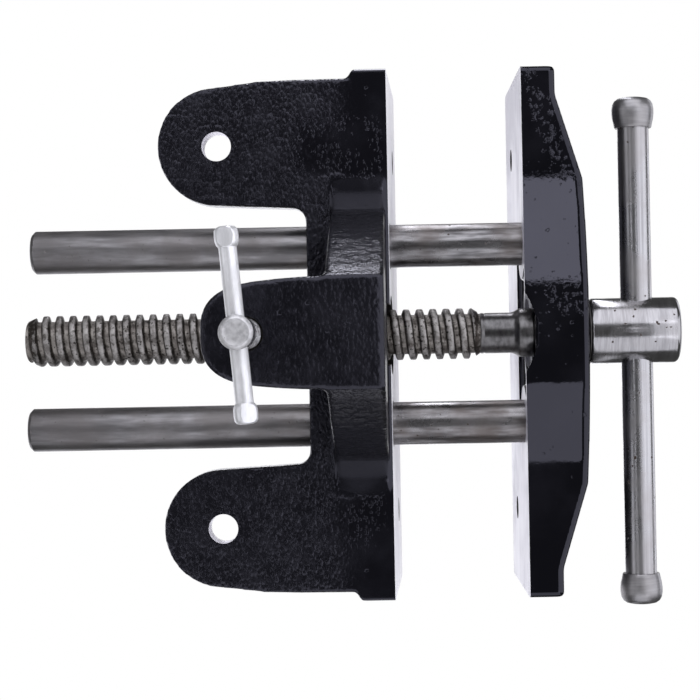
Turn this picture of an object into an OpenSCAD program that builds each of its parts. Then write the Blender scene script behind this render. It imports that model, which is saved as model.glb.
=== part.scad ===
// Portable clamp-on woodworker's bench vise, in millimetres.
// Z = 0 is the bench top under the ears. The lead screw runs along Y, with the handle at -Y.
// The origin lies midway between the two ear holes.

/* [Jaws] */
// Width of both jaws
jaw_w = 155; // [145:1:175]
// Height of the jaws above the bench top
jaw_h = 62; // [56:1:75]
// Thickness of the rear jaw plate at its foot
rear_jaw_t = 10; // [9:0.5:13]
// Lean of the rear jaw face at its top
rear_toe_in = 2.1; // [0.2:0.1:2.5]
// Thickness of the front jaw at its ends
front_end_t = 10; // [8:0.2:12]
// Thickness of the front jaw at its middle
front_mid_t = 18.9; // [17.5:0.1:24]
// Rise of the bow across the front jaw's thick middle
front_bow = 1.3; // [0.4:0.1:2]
// Half width of the front jaw's thick middle
front_mid_half = 44.6; // [38:0.2:52]
// Half width where the front jaw has run down to its thin end
front_end_half = 69.2; // [60:0.2:71]
// Lean of the front jaw face at its top
front_toe_in = 0.8; // [0.2:0.1:2.5]
// How much thinner the front jaw is at its top
front_taper = 4; // [1:0.5:6]
// Opening between the jaw tops, as drawn
opening = 36.4; // [20:0.1:60]
// Diameter of the liner screw holes
liner_hole_d = 7; // [4:0.5:9]
// Distance between the two liner screw holes of a jaw
liner_hole_spacing = 109; // [96:1:124]
// Height of the liner screw holes
liner_hole_h = 42; // [34:1:48]

/* [Bench seat] */
// Diameter of the ear holes
ear_hole_d = 8.5; // [6:0.5:11]
// Distance between the ear holes
ear_hole_spacing = 111.2; // [106:0.2:114]
// Thickness of the ears and the flange
ear_t = 8.5; // [6:0.5:12]
// Radius of the round ear ends
ear_r = 17.2; // [14:0.2:18]
// Step from the jaw's end in to the ear's outer edge
ear_step = 2.6; // [1:0.2:4]
// Distance from the ear holes to the back of the rear jaw plate
seat_depth = 39.6; // [36:0.2:48]
// Distance from the ear holes to the back edge of the flange
flange_depth = 25.6; // [20:0.2:28]
// Fillet between an ear and the flange
notch_r = 3.8; // [2:0.2:6]
// Thickness of the gusset on each ear
gusset_t = 8; // [5:0.5:12]
// Height of the gusset on the rear jaw plate
gusset_h = 35; // [25:1:36]
// Length of the gusset along the ear
gusset_len = 24; // [12:1:26]

/* [Guide rods] */
// Diameter of the guide rods
rod_d = 12.7; // [10:0.1:15]
// Distance between the guide rods
rod_spacing = 52.6; // [50:0.2:58]
// Height of the rods and the lead screw
axis_h = 11; // [10.5:0.1:14]
// Length of a guide rod
rod_len = 160.4; // [140:0.2:180]
// Depth of a rod's socket in the front jaw
rod_socket = 14; // [10:0.5:15]
// How much deeper the left rod sits in its socket
left_rod_deeper = 1.6; // [0:0.1:2]
// Wall of the round boss about a rod
boss_wall = 4.2; // [3:0.1:4.4]
// Chamfer on the free end of a rod
rod_chamfer = 1; // [0.5:0.1:1.5]

/* [Lead screw] */
// Outer diameter of the lead screw's thread
screw_d = 15; // [14:0.1:16]
// Pitch of the lead screw
screw_pitch = 3.95; // [3.5:0.05:5]
// Depth of the lead screw's thread
screw_depth = 1.7; // [1.2:0.1:1.9]
// Length of the thread
thread_len = 133.8; // [120:0.2:150]
// Diameter of the plain shank
shank_d = 12; // [11.2:0.1:12.6]
// Place of the thread's turns along the axis, as drawn
thread_phase = 0.6; // [0:0.1:3.4]
// Plain length between the front jaw's face and the thread
shank_bare = 12.7; // [10:0.1:16]
// Wall of the collar about the shank
collar_wall = 1.2; // [1:0.1:2]
// Length of the collar
collar_len = 6.3; // [5:0.1:8]
// Diameter of the collar's pocket at the jaw face
pocket_d = 31; // [28:0.5:32]
// Depth of the collar's pocket
pocket_depth = 3.1; // [2:0.1:4]
// Height of the relief about the pocket
relief_h = 27; // [20:0.5:30]
// Depth of the relief between the rod bosses
relief_depth = 1.2; // [0.6:0.1:2]
// Height of the lip under the relief
relief_lip = 1.6; // [1:0.1:3]
// Wall of the nut about the thread
nut_wall = 2.4; // [1.8:0.1:2.6]
// Length of the nut
nut_len = 13.9; // [11:0.1:14]
// Room about the collar in the rear jaw's recess
recess_room = 4.5; // [2:0.1:5]
// Wall of the casting above the nut
nut_boss_wall = 5.5; // [3:0.1:8]
// Diameter of the nut's lock pin
nut_pin_d = 3; // [2:0.5:3.5]
// Length of the nut's lock pin
nut_pin_len = 8; // [5:0.5:12]
// Thickness of the thrust washer
washer_t = 0.6; // [0.5:0.1:2]
// Diameter of the thrust washer
washer_d = 18.6; // [16:0.1:24]
// Diameter of the screw head
head_d = 19.4; // [18:0.1:24]
// Length of the screw head
head_len = 26.3; // [25:0.1:34]
// Chamfer on the ends of the screw head
head_chamfer = 1; // [0.5:0.1:2]
// Length of shank inside the screw head
head_socket = 8; // [6:0.1:8.5]
// Distance from the head's free end to the handle hole
handle_hole_edge = 12.2; // [10:0.1:13]
// Diameter of the head's lock pin
head_pin_d = 3; // [2:0.5:4]
// Diameter of the collar's lock pin
collar_pin_d = 2; // [1.5:0.1:2.4]

/* [Handle] */
// Diameter of the handle bar
handle_d = 9.3; // [8:0.1:9.8]
// Length of the handle over its knobs
handle_len = 150; // [130:1:180]
// Sideways position of the handle, as drawn
handle_shift = 6; // [-20:1:20]
// Diameter of a knob at its middle
knob_d = 12.5; // [11.5:0.1:15]
// Diameter of a knob at its ends
knob_end_d = 11.2; // [10.9:0.1:11.4]
// Length of a knob
knob_len = 9; // [7:0.5:14]
// Depth of the handle bar in a knob
knob_socket = 6.5; // [4:0.5:6.8]

/* [Bench clamp] */
// Thickness of the web below the rear jaw
web_t = 15.4; // [12:0.2:20]
// Step from the rear jaw face back to the web's front
web_setback = 1.1; // [0.5:0.1:2]
// Half width of the web where it leaves the rear jaw
web_foot = 48; // [46:0.5:50]
// Half width of the web at the top of its steep flanks
web_knee = 35.9; // [33:0.1:38]
// Depth of the flanks' top below the bench top plane
web_knee_drop = 1.5; // [1:0.1:3]
// Fillet at the top of the web's flanks
web_r = 8; // [4:0.5:10]
// Distance from the bench top plane down to the tongue
tongue_drop = 47; // [44:0.5:60]
// Thickness of the tongue
tongue_t = 13; // [10:0.5:18]
// Width of the tongue at the web
tongue_w = 29.3; // [27:0.1:34]
// Length of the tongue from the web's front
tongue_len = 47.7; // [44:0.1:56]
// Length of the tongue's straight sides from the web's front
tongue_straight = 21.4; // [16:0.2:24]
// Radius of the tongue's round end
tongue_r = 13.2; // [11:0.2:13.4]
// Round of the tongue's lower front edge
tongue_edge_r = 1.2; // [0.6:0.2:4]
// Fillet between the web and the tongue
tongue_fillet_r = 8; // [4:0.5:10]
// Distance from the tongue's tip to the clamp screw
clamp_edge = 11.9; // [9:0.1:13]
// Diameter of the clamp screw's thread
clamp_d = 8; // [7:0.1:10]
// Pitch of the clamp screw
clamp_pitch = 1.25; // [1:0.05:1.5]
// Depth of the clamp screw's thread
clamp_depth = 0.7; // [0.4:0.05:0.75]
// Length of the clamp screw's thread
clamp_thread = 40; // [38:0.5:50]
// Diameter of the clamp screw's head
clamp_head_d = 8.6; // [8:0.1:11]
// Length of the clamp screw's head
clamp_head_len = 9; // [8:0.5:12]
// Height of the clamp pad above the tongue, as drawn
clamp_lift = 8; // [2:0.5:16]
// Diameter of the clamp pad
pad_d = 17; // [14:0.5:20]
// Thickness of the clamp pad
pad_t = 5; // [4.2:0.1:7]
// Diameter of the clamp screw's tip in the pad
tip_d = 5.2; // [4:0.1:5.4]
// Length of the clamp screw's tip in the pad
tip_len = 3.4; // [2.5:0.1:3.6]
// Diameter of the clamp bar
bar_d = 4.5; // [3.5:0.1:5]
// Length of the clamp bar
bar_len = 48.6; // [40:0.2:60]
// Diameter of the clamp bar's upset ends
bar_end_d = 6.1; // [5.6:0.1:8]
// Length of the clamp bar's upset ends
bar_end_len = 5.4; // [4:0.1:7]
// Sideways position of the clamp bar, as drawn
bar_shift = -1.8; // [-8:0.2:8]
// Turn of the clamp bar, as drawn
bar_turn = -5.2; // [-30:0.2:30]

/* [Clearances] */
// Radial clearance of parts that turn or slide in a hole
running_gap = 0.06; // [0.03:0.01:0.09]
// Radial clearance of parts that are pressed together
seat_gap = 0.02; // [0.01:0.01:0.04]
// Clearance about the lead screw in its nut
thread_gap = 0.18; // [0.1:0.01:0.25]
// End play of the lead screw in the front jaw
end_play = 0.15; // [0.1:0.05:0.3]

/* [Hidden] */
$fn = 96;

// How far a cutting shape runs past the face that it cuts
past = 1;
// How far joined solids run into each other
merge = 0.5;

// Jaws along Y
rear_face_y = -(seat_depth + rear_jaw_t);
rear_top_y = rear_face_y - rear_toe_in;
front_top_y = rear_top_y - opening;
front_face_y = front_top_y - front_toe_in;
front_back_y = front_face_y - front_mid_t;
// Height share of the screw axis, which gives the jaw faces there
axis_share = axis_h / jaw_h;
front_axis_y = front_face_y + front_toe_in * axis_share;
rear_axis_y = rear_face_y - rear_toe_in * axis_share;

// Lead screw along Y
pocket_floor_y = front_axis_y - pocket_depth;
collar_y = pocket_floor_y + end_play;
thread_start_y = front_axis_y + shank_bare;
thread_end_y = thread_start_y + thread_len;
washer_y = front_back_y - end_play;
head_y = washer_y - washer_t;
handle_y = head_y - head_len + handle_hole_edge;
shank_end_y = head_y - head_socket;
head_pin_y = head_y - head_socket / 2;
collar_d = shank_d + 2 * collar_wall;
collar_cone = collar_len / 3;
collar_pin_y = collar_y + (collar_len - collar_cone) / 2;
rod_front_y = front_axis_y - rod_socket;
function rod_start_y(side) = side < 0 ? rod_front_y - left_rod_deeper : rod_front_y;

// Nut, recessed so that the collar can enter the rear jaw
nut_d = screw_d + 2 * nut_wall;
nut_back_y = -flange_depth;
nut_front_y = nut_back_y - nut_len;
recess_d = collar_d + 2 * recess_room;
nut_boss_r = nut_d / 2 + nut_boss_wall;
rod_boss_r = rod_d / 2 + boss_wall;

// Web, tongue and clamp
web_front_y = rear_face_y + web_setback;
web_back_y = web_front_y + web_t;
tongue_top_z = -tongue_drop;
tongue_base_z = tongue_top_z - tongue_t;
tongue_end_y = web_front_y + tongue_len;
clamp_y = tongue_end_y - clamp_edge;
pad_z = tongue_top_z + clamp_lift;
clamp_shoulder_z = pad_z - end_play;
clamp_head_z = clamp_shoulder_z - clamp_thread;
bar_z = clamp_head_z - clamp_head_len / 2;

// A shape drawn in X and Z, extruded towards -Y from y
module slab_xz(y, depth) {
    translate([0, y, 0])
    rotate([90, 0, 0])
    linear_extrude(depth)
    children();
}

// A shape drawn in Y and Z, extruded towards +X from x
module slab_yz(x, width) {
    translate([x, 0, 0])
    rotate([90, 0, 90])
    linear_extrude(width)
    children();
}

// A round bar along Y between two places, at the height of the screw axis
module bar_y(x, y_low, y_high, d) {
    translate([x, y_low, axis_h])
    rotate([-90, 0, 0])
    cylinder(d = d, h = y_high - y_low);
}

// A round bar along X, centred on the screw axis
module bar_x(y, d, length) {
    translate([0, y, axis_h])
    rotate([0, 90, 0])
    cylinder(d = d, h = length, center = true);
}

// The corner piece of a concave fillet, with its corner at the origin and its arc towards +X +Y
module fillet_corner(r) {
    difference() {
        translate([-merge, -merge]) square(r + merge);
        translate([r, r]) circle(r);
    }
}

// A closed threaded rod along +Y with a right-hand thread: flat discs close the ends of the root.
// grow widens it on all sides, for the thread of a nut.
module threaded_rod(y_low, y_high, d, depth, pitch, crest, flank, sides, grow = 0) {
    root_r = d / 2 - depth + grow;
    phase = [-grow, flank - grow, flank + crest + grow, 2 * flank + crest + grow] / pitch;
    lift = [0, 1, 1, 0];
    rows = len(phase);
    start = pitch * ceil(y_low / pitch + 0.3);
    turns = floor((y_high - start) / pitch - 0.3) - 1;
    last = rows * turns;
    // The thread rises over half a turn at each end
    function turn(i, j) = floor(j / rows) + i / sides;
    function fade(i, j) = max(0, min(1, 2 * turn(i, j), 2 * (turns - turn(i, j))));
    function row_y(i, j) = start + pitch * (turn(i, j) + phase[j % rows]);
    function ring(i, y, r) = [r * sin(360 * i / sides), y, r * cos(360 * i / sides)];
    function vertex(i, j) = ring(i, row_y(i, j), root_r + depth * lift[j % rows] * fade(i, j));
    // The seam column carries one more turn, which the last column joins
    seam = sides * (last + 1);
    low_disc = seam + rows;
    high_disc = low_disc + sides;
    function at(i, j) = i == sides ? at(0, j + rows) : j > last ? seam + j - last - 1 : i * (last + 1) + j;
    points = concat(
        [for (i = [0:sides - 1]) for (j = [0:last]) vertex(i, j)],
        [for (j = [last + 1:last + rows]) vertex(0, j)],
        [for (i = [0:sides - 1]) ring(i, y_low, root_r)],
        [for (i = [0:sides - 1]) ring(i, y_high, root_r)]);
    wall = [for (i = [0:sides - 1]) for (j = [0:last - 1]) each [
        [at(i, j), at(i, j + 1), at(i + 1, j + 1)],
        [at(i, j), at(i + 1, j + 1), at(i + 1, j)]]];
    low_band = [for (i = [0:sides - 2]) each [
        [low_disc + i, at(i, 0), at(i + 1, 0)],
        [low_disc + i, at(i + 1, 0), low_disc + i + 1]]];
    low_seam = concat(
        [[at(sides - 1, 0), low_disc, low_disc + sides - 1], [at(sides - 1, 0), at(0, 0), low_disc]],
        [for (j = [0:rows - 1]) [at(sides - 1, 0), at(0, j + 1), at(0, j)]]);
    high_band = [for (i = [1:sides - 1]) each [
        [at(i, last), high_disc + i, at(i + 1, last)],
        [at(i + 1, last), high_disc + i, high_disc + (i + 1) % sides]]];
    high_seam = concat(
        [[at(1, last), high_disc, high_disc + 1], [at(1, last), at(0, last + rows), high_disc]],
        [for (j = [last:last + rows - 1]) [at(1, last), at(0, j), at(0, j + 1)]]);
    discs = [[for (i = [0:sides - 1]) low_disc + i], [for (i = [sides - 1:-1:0]) high_disc + i]];
    polyhedron(points, concat(wall, low_band, low_seam, high_band, high_seam, discs));
}

// The lead screw's thread between two places on the axis
module lead_thread(y_low, y_high, grow = 0) {
    translate([0, thread_phase, axis_h])
    threaded_rod(y_low - thread_phase, y_high - thread_phase, screw_d, screw_depth, screw_pitch,
                 crest = 0.4 * screw_pitch, flank = 0.16 * screw_pitch, sides = 24, grow = grow);
}

// Plan of one ear, with the bench hole's centre on Y = 0
module ear_plan() {
    hole_x = ear_hole_spacing / 2;
    outer_x = jaw_w / 2 - ear_step;
    inner_x = hole_x - ear_r - 1.1;
    translate([hole_x, 0]) circle(ear_r);
    polygon([[hole_x - ear_r, 0], [hole_x + ear_r, 0], [outer_x - 0.2 * ear_step, -0.3 * seat_depth],
             [outer_x, ear_step / 2 - seat_depth], [jaw_w / 2 - 0.2 * ear_step, -seat_depth],
             [jaw_w / 2 - 0.2 * ear_step, -seat_depth - merge], [inner_x, -seat_depth - merge],
             [inner_x, -flange_depth]]);
    translate([inner_x, -flange_depth]) mirror([1, 0]) fillet_corner(notch_r);
}

// Ears and flange, which lie on the bench top
module bench_plate() {
    linear_extrude(ear_t) {
        for (side = [0, 1]) mirror([side, 0]) ear_plan();
        translate([-ear_hole_spacing / 2, -seat_depth - merge])
        square([ear_hole_spacing, seat_depth + merge - flange_depth]);
    }
}

// Casting about the guide rods and the nut, behind the rear jaw plate
module guide_block() {
    slab_xz(-flange_depth, seat_depth + merge - flange_depth)
    intersection() {
        union() {
            for (side = [-1, 1]) translate([side * rod_spacing / 2, axis_h]) circle(rod_boss_r);
            translate([0, axis_h]) circle(nut_boss_r);
            translate([-rod_spacing / 2 - rod_boss_r, 0]) square([rod_spacing + 2 * rod_boss_r, axis_h]);
        }
        translate([-jaw_w / 2, 0]) square([jaw_w, jaw_h]);
    }
}

// Web below the rear jaw: a shallow foot, and steep flanks that run down to the tongue
module clamp_web() {
    foot = [web_foot, 0];
    knee = [web_knee, -web_knee_drop];
    base = [tongue_w / 2 - merge, tongue_base_z + merge];
    out = (foot - knee) / norm(foot - knee);
    down = (base - knee) / norm(base - knee);
    half_turn = acos(out * down) / 2;
    middle = (out + down) / norm(out + down);
    centre = knee + middle * web_r / sin(half_turn);
    reach = web_r / tan(half_turn);
    // The foot's slope runs on into the jaw
    inside = foot + out * merge / out.y;
    slab_xz(web_back_y, web_t) {
        polygon([[-inside.x, inside.y], [-knee.x, knee.y], [-base.x, base.y], base, knee, inside]);
        for (side = [0, 1]) mirror([side, 0]) difference() {
            polygon([knee - merge * middle, knee + out * reach, centre, knee + down * reach]);
            translate(centre) circle(web_r);
        }
    }
}

// Tongue that goes under the bench, with a fillet against the web
module clamp_tongue() {
    translate([0, 0, tongue_base_z])
    linear_extrude(tongue_t) {
        translate([0, tongue_end_y - tongue_r]) circle(tongue_r);
        polygon([[-tongue_w / 2, web_front_y], [tongue_w / 2, web_front_y],
                 [tongue_w / 2, web_front_y + tongue_straight], [tongue_r, tongue_end_y - tongue_r],
                 [-tongue_r, tongue_end_y - tongue_r], [-tongue_w / 2, web_front_y + tongue_straight]]);
    }
    slab_yz(-tongue_r, 2 * tongue_r)
    translate([web_back_y, tongue_top_z])
    fillet_corner(tongue_fillet_r);
}

// Gusset between one ear and the rear jaw plate
module gusset() {
    slab_yz(ear_hole_spacing / 2 - gusset_t / 2, gusset_t)
    polygon([[-seat_depth - merge, ear_t - merge], [-seat_depth + gusset_len, ear_t - merge],
             [-seat_depth + gusset_len, ear_t], [-seat_depth, gusset_h], [-seat_depth - merge, gusset_h]]);
}

// Two liner screw holes through a jaw
module liner_holes(y_low, y_high) {
    for (side = [-1, 1])
        translate([side * liner_hole_spacing / 2, y_low, liner_hole_h])
        rotate([-90, 0, 0])
        cylinder(d = liner_hole_d, h = y_high - y_low);
}

// Rear jaw with its ears, web and tongue: one casting
module rear_jaw() {
    color("#1b1b1e")
    difference() {
        union() {
            slab_yz(-jaw_w / 2, jaw_w)
            polygon([[rear_face_y, 0], [-seat_depth, 0], [-seat_depth, jaw_h], [rear_top_y, jaw_h]]);
            bench_plate();
            guide_block();
            clamp_web();
            clamp_tongue();
            for (side = [0, 1]) mirror([side, 0, 0]) gusset();
        }
        for (side = [-1, 1]) {
            bar_y(side * rod_spacing / 2, rear_top_y - past, past - flange_depth, rod_d + 2 * running_gap);
            translate([side * ear_hole_spacing / 2, 0, -past]) cylinder(d = ear_hole_d, h = ear_t + 2 * past);
        }
        bar_y(0, nut_front_y, past - flange_depth, nut_d + 2 * seat_gap);
        bar_y(0, rear_top_y - past, nut_front_y, recess_d);
        nut_pin_hole();
        liner_holes(rear_top_y - past, past - seat_depth);
        translate([0, clamp_y, tongue_base_z - past])
        cylinder(d = clamp_d + 4 * running_gap, h = tongue_t + 2 * past);
        slab_yz(-tongue_w, 2 * tongue_w)
        translate([web_front_y, tongue_base_z])
        intersection() {
            fillet_corner(tongue_edge_r);
            translate([-past, -past]) square(tongue_edge_r + past);
        }
    }
}

// Plan of the front jaw: thin ends, sloped shoulders and a bowed middle
module front_plan() {
    bow_r = (pow(front_mid_half, 2) + pow(front_bow, 2)) / (2 * front_bow);
    end_corner = [front_end_half, front_face_y - front_end_t];
    mid_corner = [front_mid_half, front_back_y + front_bow];
    // The slope runs on past the bow, which cuts it
    tip = end_corner + 1.5 * (mid_corner - end_corner);
    intersection() {
        polygon([[-jaw_w / 2, front_top_y + past], [jaw_w / 2, front_top_y + past], [jaw_w / 2, end_corner.y],
                 end_corner, tip, [-tip.x, tip.y], [-end_corner.x, end_corner.y], [-jaw_w / 2, end_corner.y]]);
        translate([0, front_back_y + bow_r]) circle(bow_r, $fn = 720);
    }
}

// Relief in the front jaw's face between the two rod bosses
module face_relief() {
    slab_xz(front_top_y + past, front_top_y + past - front_axis_y + relief_depth)
    difference() {
        translate([-rod_spacing / 2, relief_lip]) square([rod_spacing, relief_h - relief_lip]);
        for (side = [-1, 1]) translate([side * rod_spacing / 2, axis_h]) circle(rod_boss_r);
    }
}

// Dished pocket for the collar, open at the foot of the front jaw
module collar_pocket() {
    floor_d = pocket_d - 2.4 * pocket_depth;
    // The cone runs on past the face at the same slope
    reach = pocket_depth + past + front_toe_in;
    translate([0, pocket_floor_y, axis_h])
    rotate([-90, 0, 0])
    cylinder(d1 = floor_d, d2 = floor_d + 2.4 * reach, h = reach);
}

// Front jaw: one casting
module front_jaw() {
    color("#1b1b1e")
    difference() {
        intersection() {
            linear_extrude(jaw_h) front_plan();
            slab_yz(-jaw_w / 2, jaw_w)
            polygon([[front_face_y, 0], [front_top_y, jaw_h], [front_back_y + front_taper, jaw_h],
                     [front_back_y - merge, 0.5 * jaw_h], [front_back_y - merge, 0]]);
        }
        for (side = [-1, 1])
            bar_y(side * rod_spacing / 2, rod_start_y(side), front_top_y + past, rod_d + 2 * seat_gap);
        bar_y(0, front_back_y - past, front_top_y + past, shank_d + 2 * running_gap);
        face_relief();
        collar_pocket();
        liner_holes(front_back_y - past, front_top_y + past);
    }
}

// Guide rod with a chamfered free end
module guide_rod(side) {
    start_y = rod_start_y(side);
    end_y = start_y + rod_len;
    color("#7d7b78") {
        bar_y(side * rod_spacing / 2, start_y, end_y - rod_chamfer, rod_d);
        translate([side * rod_spacing / 2, end_y - rod_chamfer, axis_h])
        rotate([-90, 0, 0])
        cylinder(d1 = rod_d, d2 = rod_d - 2 * rod_chamfer, h = rod_chamfer);
    }
}

module guide_rod_left() {
    guide_rod(-1);
}

module guide_rod_right() {
    guide_rod(1);
}

// Lead screw: thread, shank and the cross holes of its two pins
module lead_screw() {
    color("#6f6a66")
    difference() {
        union() {
            lead_thread(thread_start_y, thread_end_y);
            bar_y(0, shank_end_y, thread_start_y, shank_d);
        }
        bar_x(head_pin_y, head_pin_d + 2 * seat_gap, head_d);
        bar_x(collar_pin_y, collar_pin_d + 2 * seat_gap, head_d);
    }
}

// Round head with the handle's cross hole and a socket for the shank
module screw_head() {
    body_len = head_len - 2 * head_chamfer;
    color("#b9b6b2")
    difference() {
        translate([0, head_y, axis_h])
        rotate([90, 0, 0])
        union() {
            cylinder(d1 = head_d - 2 * head_chamfer, d2 = head_d, h = head_chamfer);
            translate([0, 0, head_chamfer]) cylinder(d = head_d, h = body_len);
            translate([0, 0, head_chamfer + body_len])
            cylinder(d1 = head_d, d2 = head_d - 2 * head_chamfer, h = head_chamfer);
        }
        bar_y(0, shank_end_y - seat_gap, head_y + past, shank_d + 2 * seat_gap);
        bar_x(handle_y, handle_d + 2 * running_gap, 2 * head_d);
        bar_x(head_pin_y, head_pin_d + 2 * seat_gap, 2 * head_d);
    }
}

// Cross pin that locks the head on the shank, a little below the head's surface
module head_pin() {
    color("#8a8682") bar_x(head_pin_y, head_pin_d, head_d - 0.12 * head_pin_d * head_pin_d);
}

// Washer between the head and the front jaw
module thrust_washer() {
    color("#3a3836")
    difference() {
        bar_y(0, head_y, washer_y, washer_d);
        bar_y(0, head_y - past, washer_y + past, shank_d + 2 * running_gap);
    }
}

// Collar that holds the lead screw in the front jaw
module screw_collar() {
    cone_y = collar_y + collar_len - collar_cone;
    color("#6f6a66")
    difference() {
        union() {
            bar_y(0, collar_y, cone_y, collar_d);
            translate([0, cone_y, axis_h])
            rotate([-90, 0, 0])
            cylinder(d1 = collar_d, d2 = (collar_d + shank_d) / 2, h = collar_cone);
        }
        bar_y(0, collar_y - past, collar_y + collar_len + past, shank_d + 2 * seat_gap);
        bar_x(collar_pin_y, collar_pin_d + 2 * seat_gap, 2 * collar_d);
    }
}

// Cross pin that locks the collar on the shank
module collar_pin() {
    color("#8a8682") bar_x(collar_pin_y, collar_pin_d, collar_d - 0.12 * collar_pin_d * collar_pin_d);
}

// Hole for the nut's lock pin, half in the nut and half in the casting
module nut_pin_hole() {
    translate([0, -flange_depth - nut_pin_len, axis_h + nut_d / 2])
    rotate([-90, 0, 0])
    cylinder(d = nut_pin_d + 2 * seat_gap, h = nut_pin_len + past);
}

// Nut of the lead screw, with its thread
module screw_nut() {
    color("#77736e")
    difference() {
        bar_y(0, nut_front_y, nut_back_y, nut_d);
        lead_thread(nut_front_y - 3 * screw_pitch, nut_back_y + 3 * screw_pitch, thread_gap);
        nut_pin_hole();
    }
}

// Pin along the seam of nut and casting, which stops the nut from turning
module nut_pin() {
    color("#8a8682")
    translate([0, -flange_depth - nut_pin_len, axis_h + nut_d / 2])
    rotate([-90, 0, 0])
    cylinder(d = nut_pin_d, h = nut_pin_len);
}

// Sliding handle bar, without its knobs
module handle_bar() {
    bar_length = handle_len - 2 * (knob_len - knob_socket);
    color("#a9a6a2")
    translate([handle_shift, 0, 0])
    bar_x(handle_y, handle_d, bar_length);
}

// Barrel-shaped knob on one end of the handle bar
module handle_knob(side) {
    barrel_r = (pow(knob_len / 2, 2) + pow((knob_d - knob_end_d) / 2, 2)) / (knob_d - knob_end_d);
    color("#9b9894")
    translate([handle_shift + side * handle_len / 2, handle_y, axis_h])
    rotate([0, -90 * side, 0])
    difference() {
        rotate_extrude()
        intersection() {
            square([knob_d, knob_len]);
            translate([knob_d / 2 - barrel_r, knob_len / 2]) circle(barrel_r, $fn = 360);
        }
        translate([0, 0, knob_len - knob_socket]) cylinder(d = handle_d + 2 * seat_gap, h = knob_socket + past);
    }
}

module handle_knob_left() {
    handle_knob(-1);
}

module handle_knob_right() {
    handle_knob(1);
}

// Clamp screw: head with a cross hole, thread, and the tip that turns in the pad
module clamp_screw() {
    color("#d5d5d7")
    translate([0, clamp_y, 0])
    difference() {
        union() {
            translate([0, 0, clamp_head_z - clamp_head_len]) cylinder(d = clamp_head_d, h = clamp_head_len);
            rotate([90, 0, 0])
            threaded_rod(clamp_head_z, clamp_shoulder_z, clamp_d, clamp_depth, clamp_pitch,
                         crest = 0.14 * clamp_pitch, flank = 0.36 * clamp_pitch, sides = 16);
            translate([0, 0, clamp_shoulder_z]) cylinder(d = tip_d, h = end_play + tip_len);
        }
        translate([0, 0, bar_z])
        rotate([0, 90, bar_turn])
        cylinder(d = bar_d + 2 * running_gap, h = 2 * clamp_head_d, center = true);
    }
}

// Clamp bar with two upset ends
module clamp_bar() {
    color("#dadadc")
    translate([0, clamp_y, bar_z])
    rotate([0, 90, bar_turn])
    translate([0, 0, bar_shift]) {
        cylinder(d = bar_d, h = bar_len - bar_end_len, center = true);
        for (side = [0, 1])
            mirror([0, 0, side])
            translate([0, 0, bar_len / 2 - bar_end_len / 2])
            rotate_extrude()
            intersection() {
                translate([0, -bar_end_len / 2]) square([bar_end_d, bar_end_len]);
                translate([bar_end_d / 2 - bar_end_len, 0]) circle(bar_end_len);
            }
    }
}

// Swivel pad that presses on the underside of the bench
module clamp_pad() {
    rim = 0.8;
    color("#c4c4c6")
    translate([0, clamp_y, pad_z])
    difference() {
        union() {
            cylinder(d = pad_d, h = pad_t - rim);
            translate([0, 0, pad_t - rim]) cylinder(d1 = pad_d, d2 = pad_d - 2 * rim, h = rim);
        }
        translate([0, 0, -past]) cylinder(d = tip_d + 2 * running_gap, h = tip_len + 2 * end_play + past);
    }
}

rear_jaw();
front_jaw();
guide_rod_left();
guide_rod_right();
lead_screw();
screw_head();
head_pin();
thrust_washer();
screw_collar();
collar_pin();
screw_nut();
nut_pin();
handle_bar();
handle_knob_left();
handle_knob_right();
clamp_screw();
clamp_bar();
clamp_pad();
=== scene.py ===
"""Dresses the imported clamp-on bench vise: cast jaws, rods, rolled screw, bright handle and zinc clamp."""

import logging
import math
from dataclasses import dataclass
from enum import Enum
from typing import Optional, Sequence, Union

import bpy
from mathutils import Matrix, Vector


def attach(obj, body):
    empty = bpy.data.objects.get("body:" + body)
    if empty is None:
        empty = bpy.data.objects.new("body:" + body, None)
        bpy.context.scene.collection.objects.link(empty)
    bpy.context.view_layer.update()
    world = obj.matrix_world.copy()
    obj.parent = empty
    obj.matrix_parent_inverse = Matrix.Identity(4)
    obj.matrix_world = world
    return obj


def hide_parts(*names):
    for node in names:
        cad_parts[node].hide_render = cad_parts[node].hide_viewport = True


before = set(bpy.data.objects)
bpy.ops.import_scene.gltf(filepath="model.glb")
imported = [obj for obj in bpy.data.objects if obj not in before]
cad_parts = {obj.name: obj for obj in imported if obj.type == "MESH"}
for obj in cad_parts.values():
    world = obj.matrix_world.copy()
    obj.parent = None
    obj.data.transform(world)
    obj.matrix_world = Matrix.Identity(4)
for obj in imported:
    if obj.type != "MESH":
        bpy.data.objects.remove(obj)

logging.basicConfig(level=logging.INFO, format="%(message)s")
LOG = logging.getLogger("vise")

MM = 0.001
# The height of the screw and the rods, and the places of the rods, liner holes, handle and clamp, in mm
AXIS_Z = 11.0
ROD_X = 26.3
LEFT_DEEPER = 1.6
LINER_X, LINER_Z = 54.5, 42.0
HANDLE_Y, CLAMP_Y = -122.65, -12.7
ALONG_X, ALONG_Y, UP = (1, 0, 0), (0, 1, 0), (0, 0, 1)
RUST = (0.035, 0.022, 0.016, 1)
PAINT_SHINE = {"Specular IOR Level": 0.5, "Specular Tint": (0.84, 0.84, 1.0, 1.0)}
Point = tuple[float, float, float]
Flat = tuple[float, float]
Solid = bpy.types.Object
Material = bpy.types.Material


class Plane(Enum):
    """The plane that an outline is drawn in, and the axis that it is extruded along."""

    XY = "z"
    XZ = "y"
    YZ = "x"


class Cut(Enum):
    """How two solids are combined."""

    JOIN = "UNION"
    REMOVE = "DIFFERENCE"
    KEEP = "INTERSECT"


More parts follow.
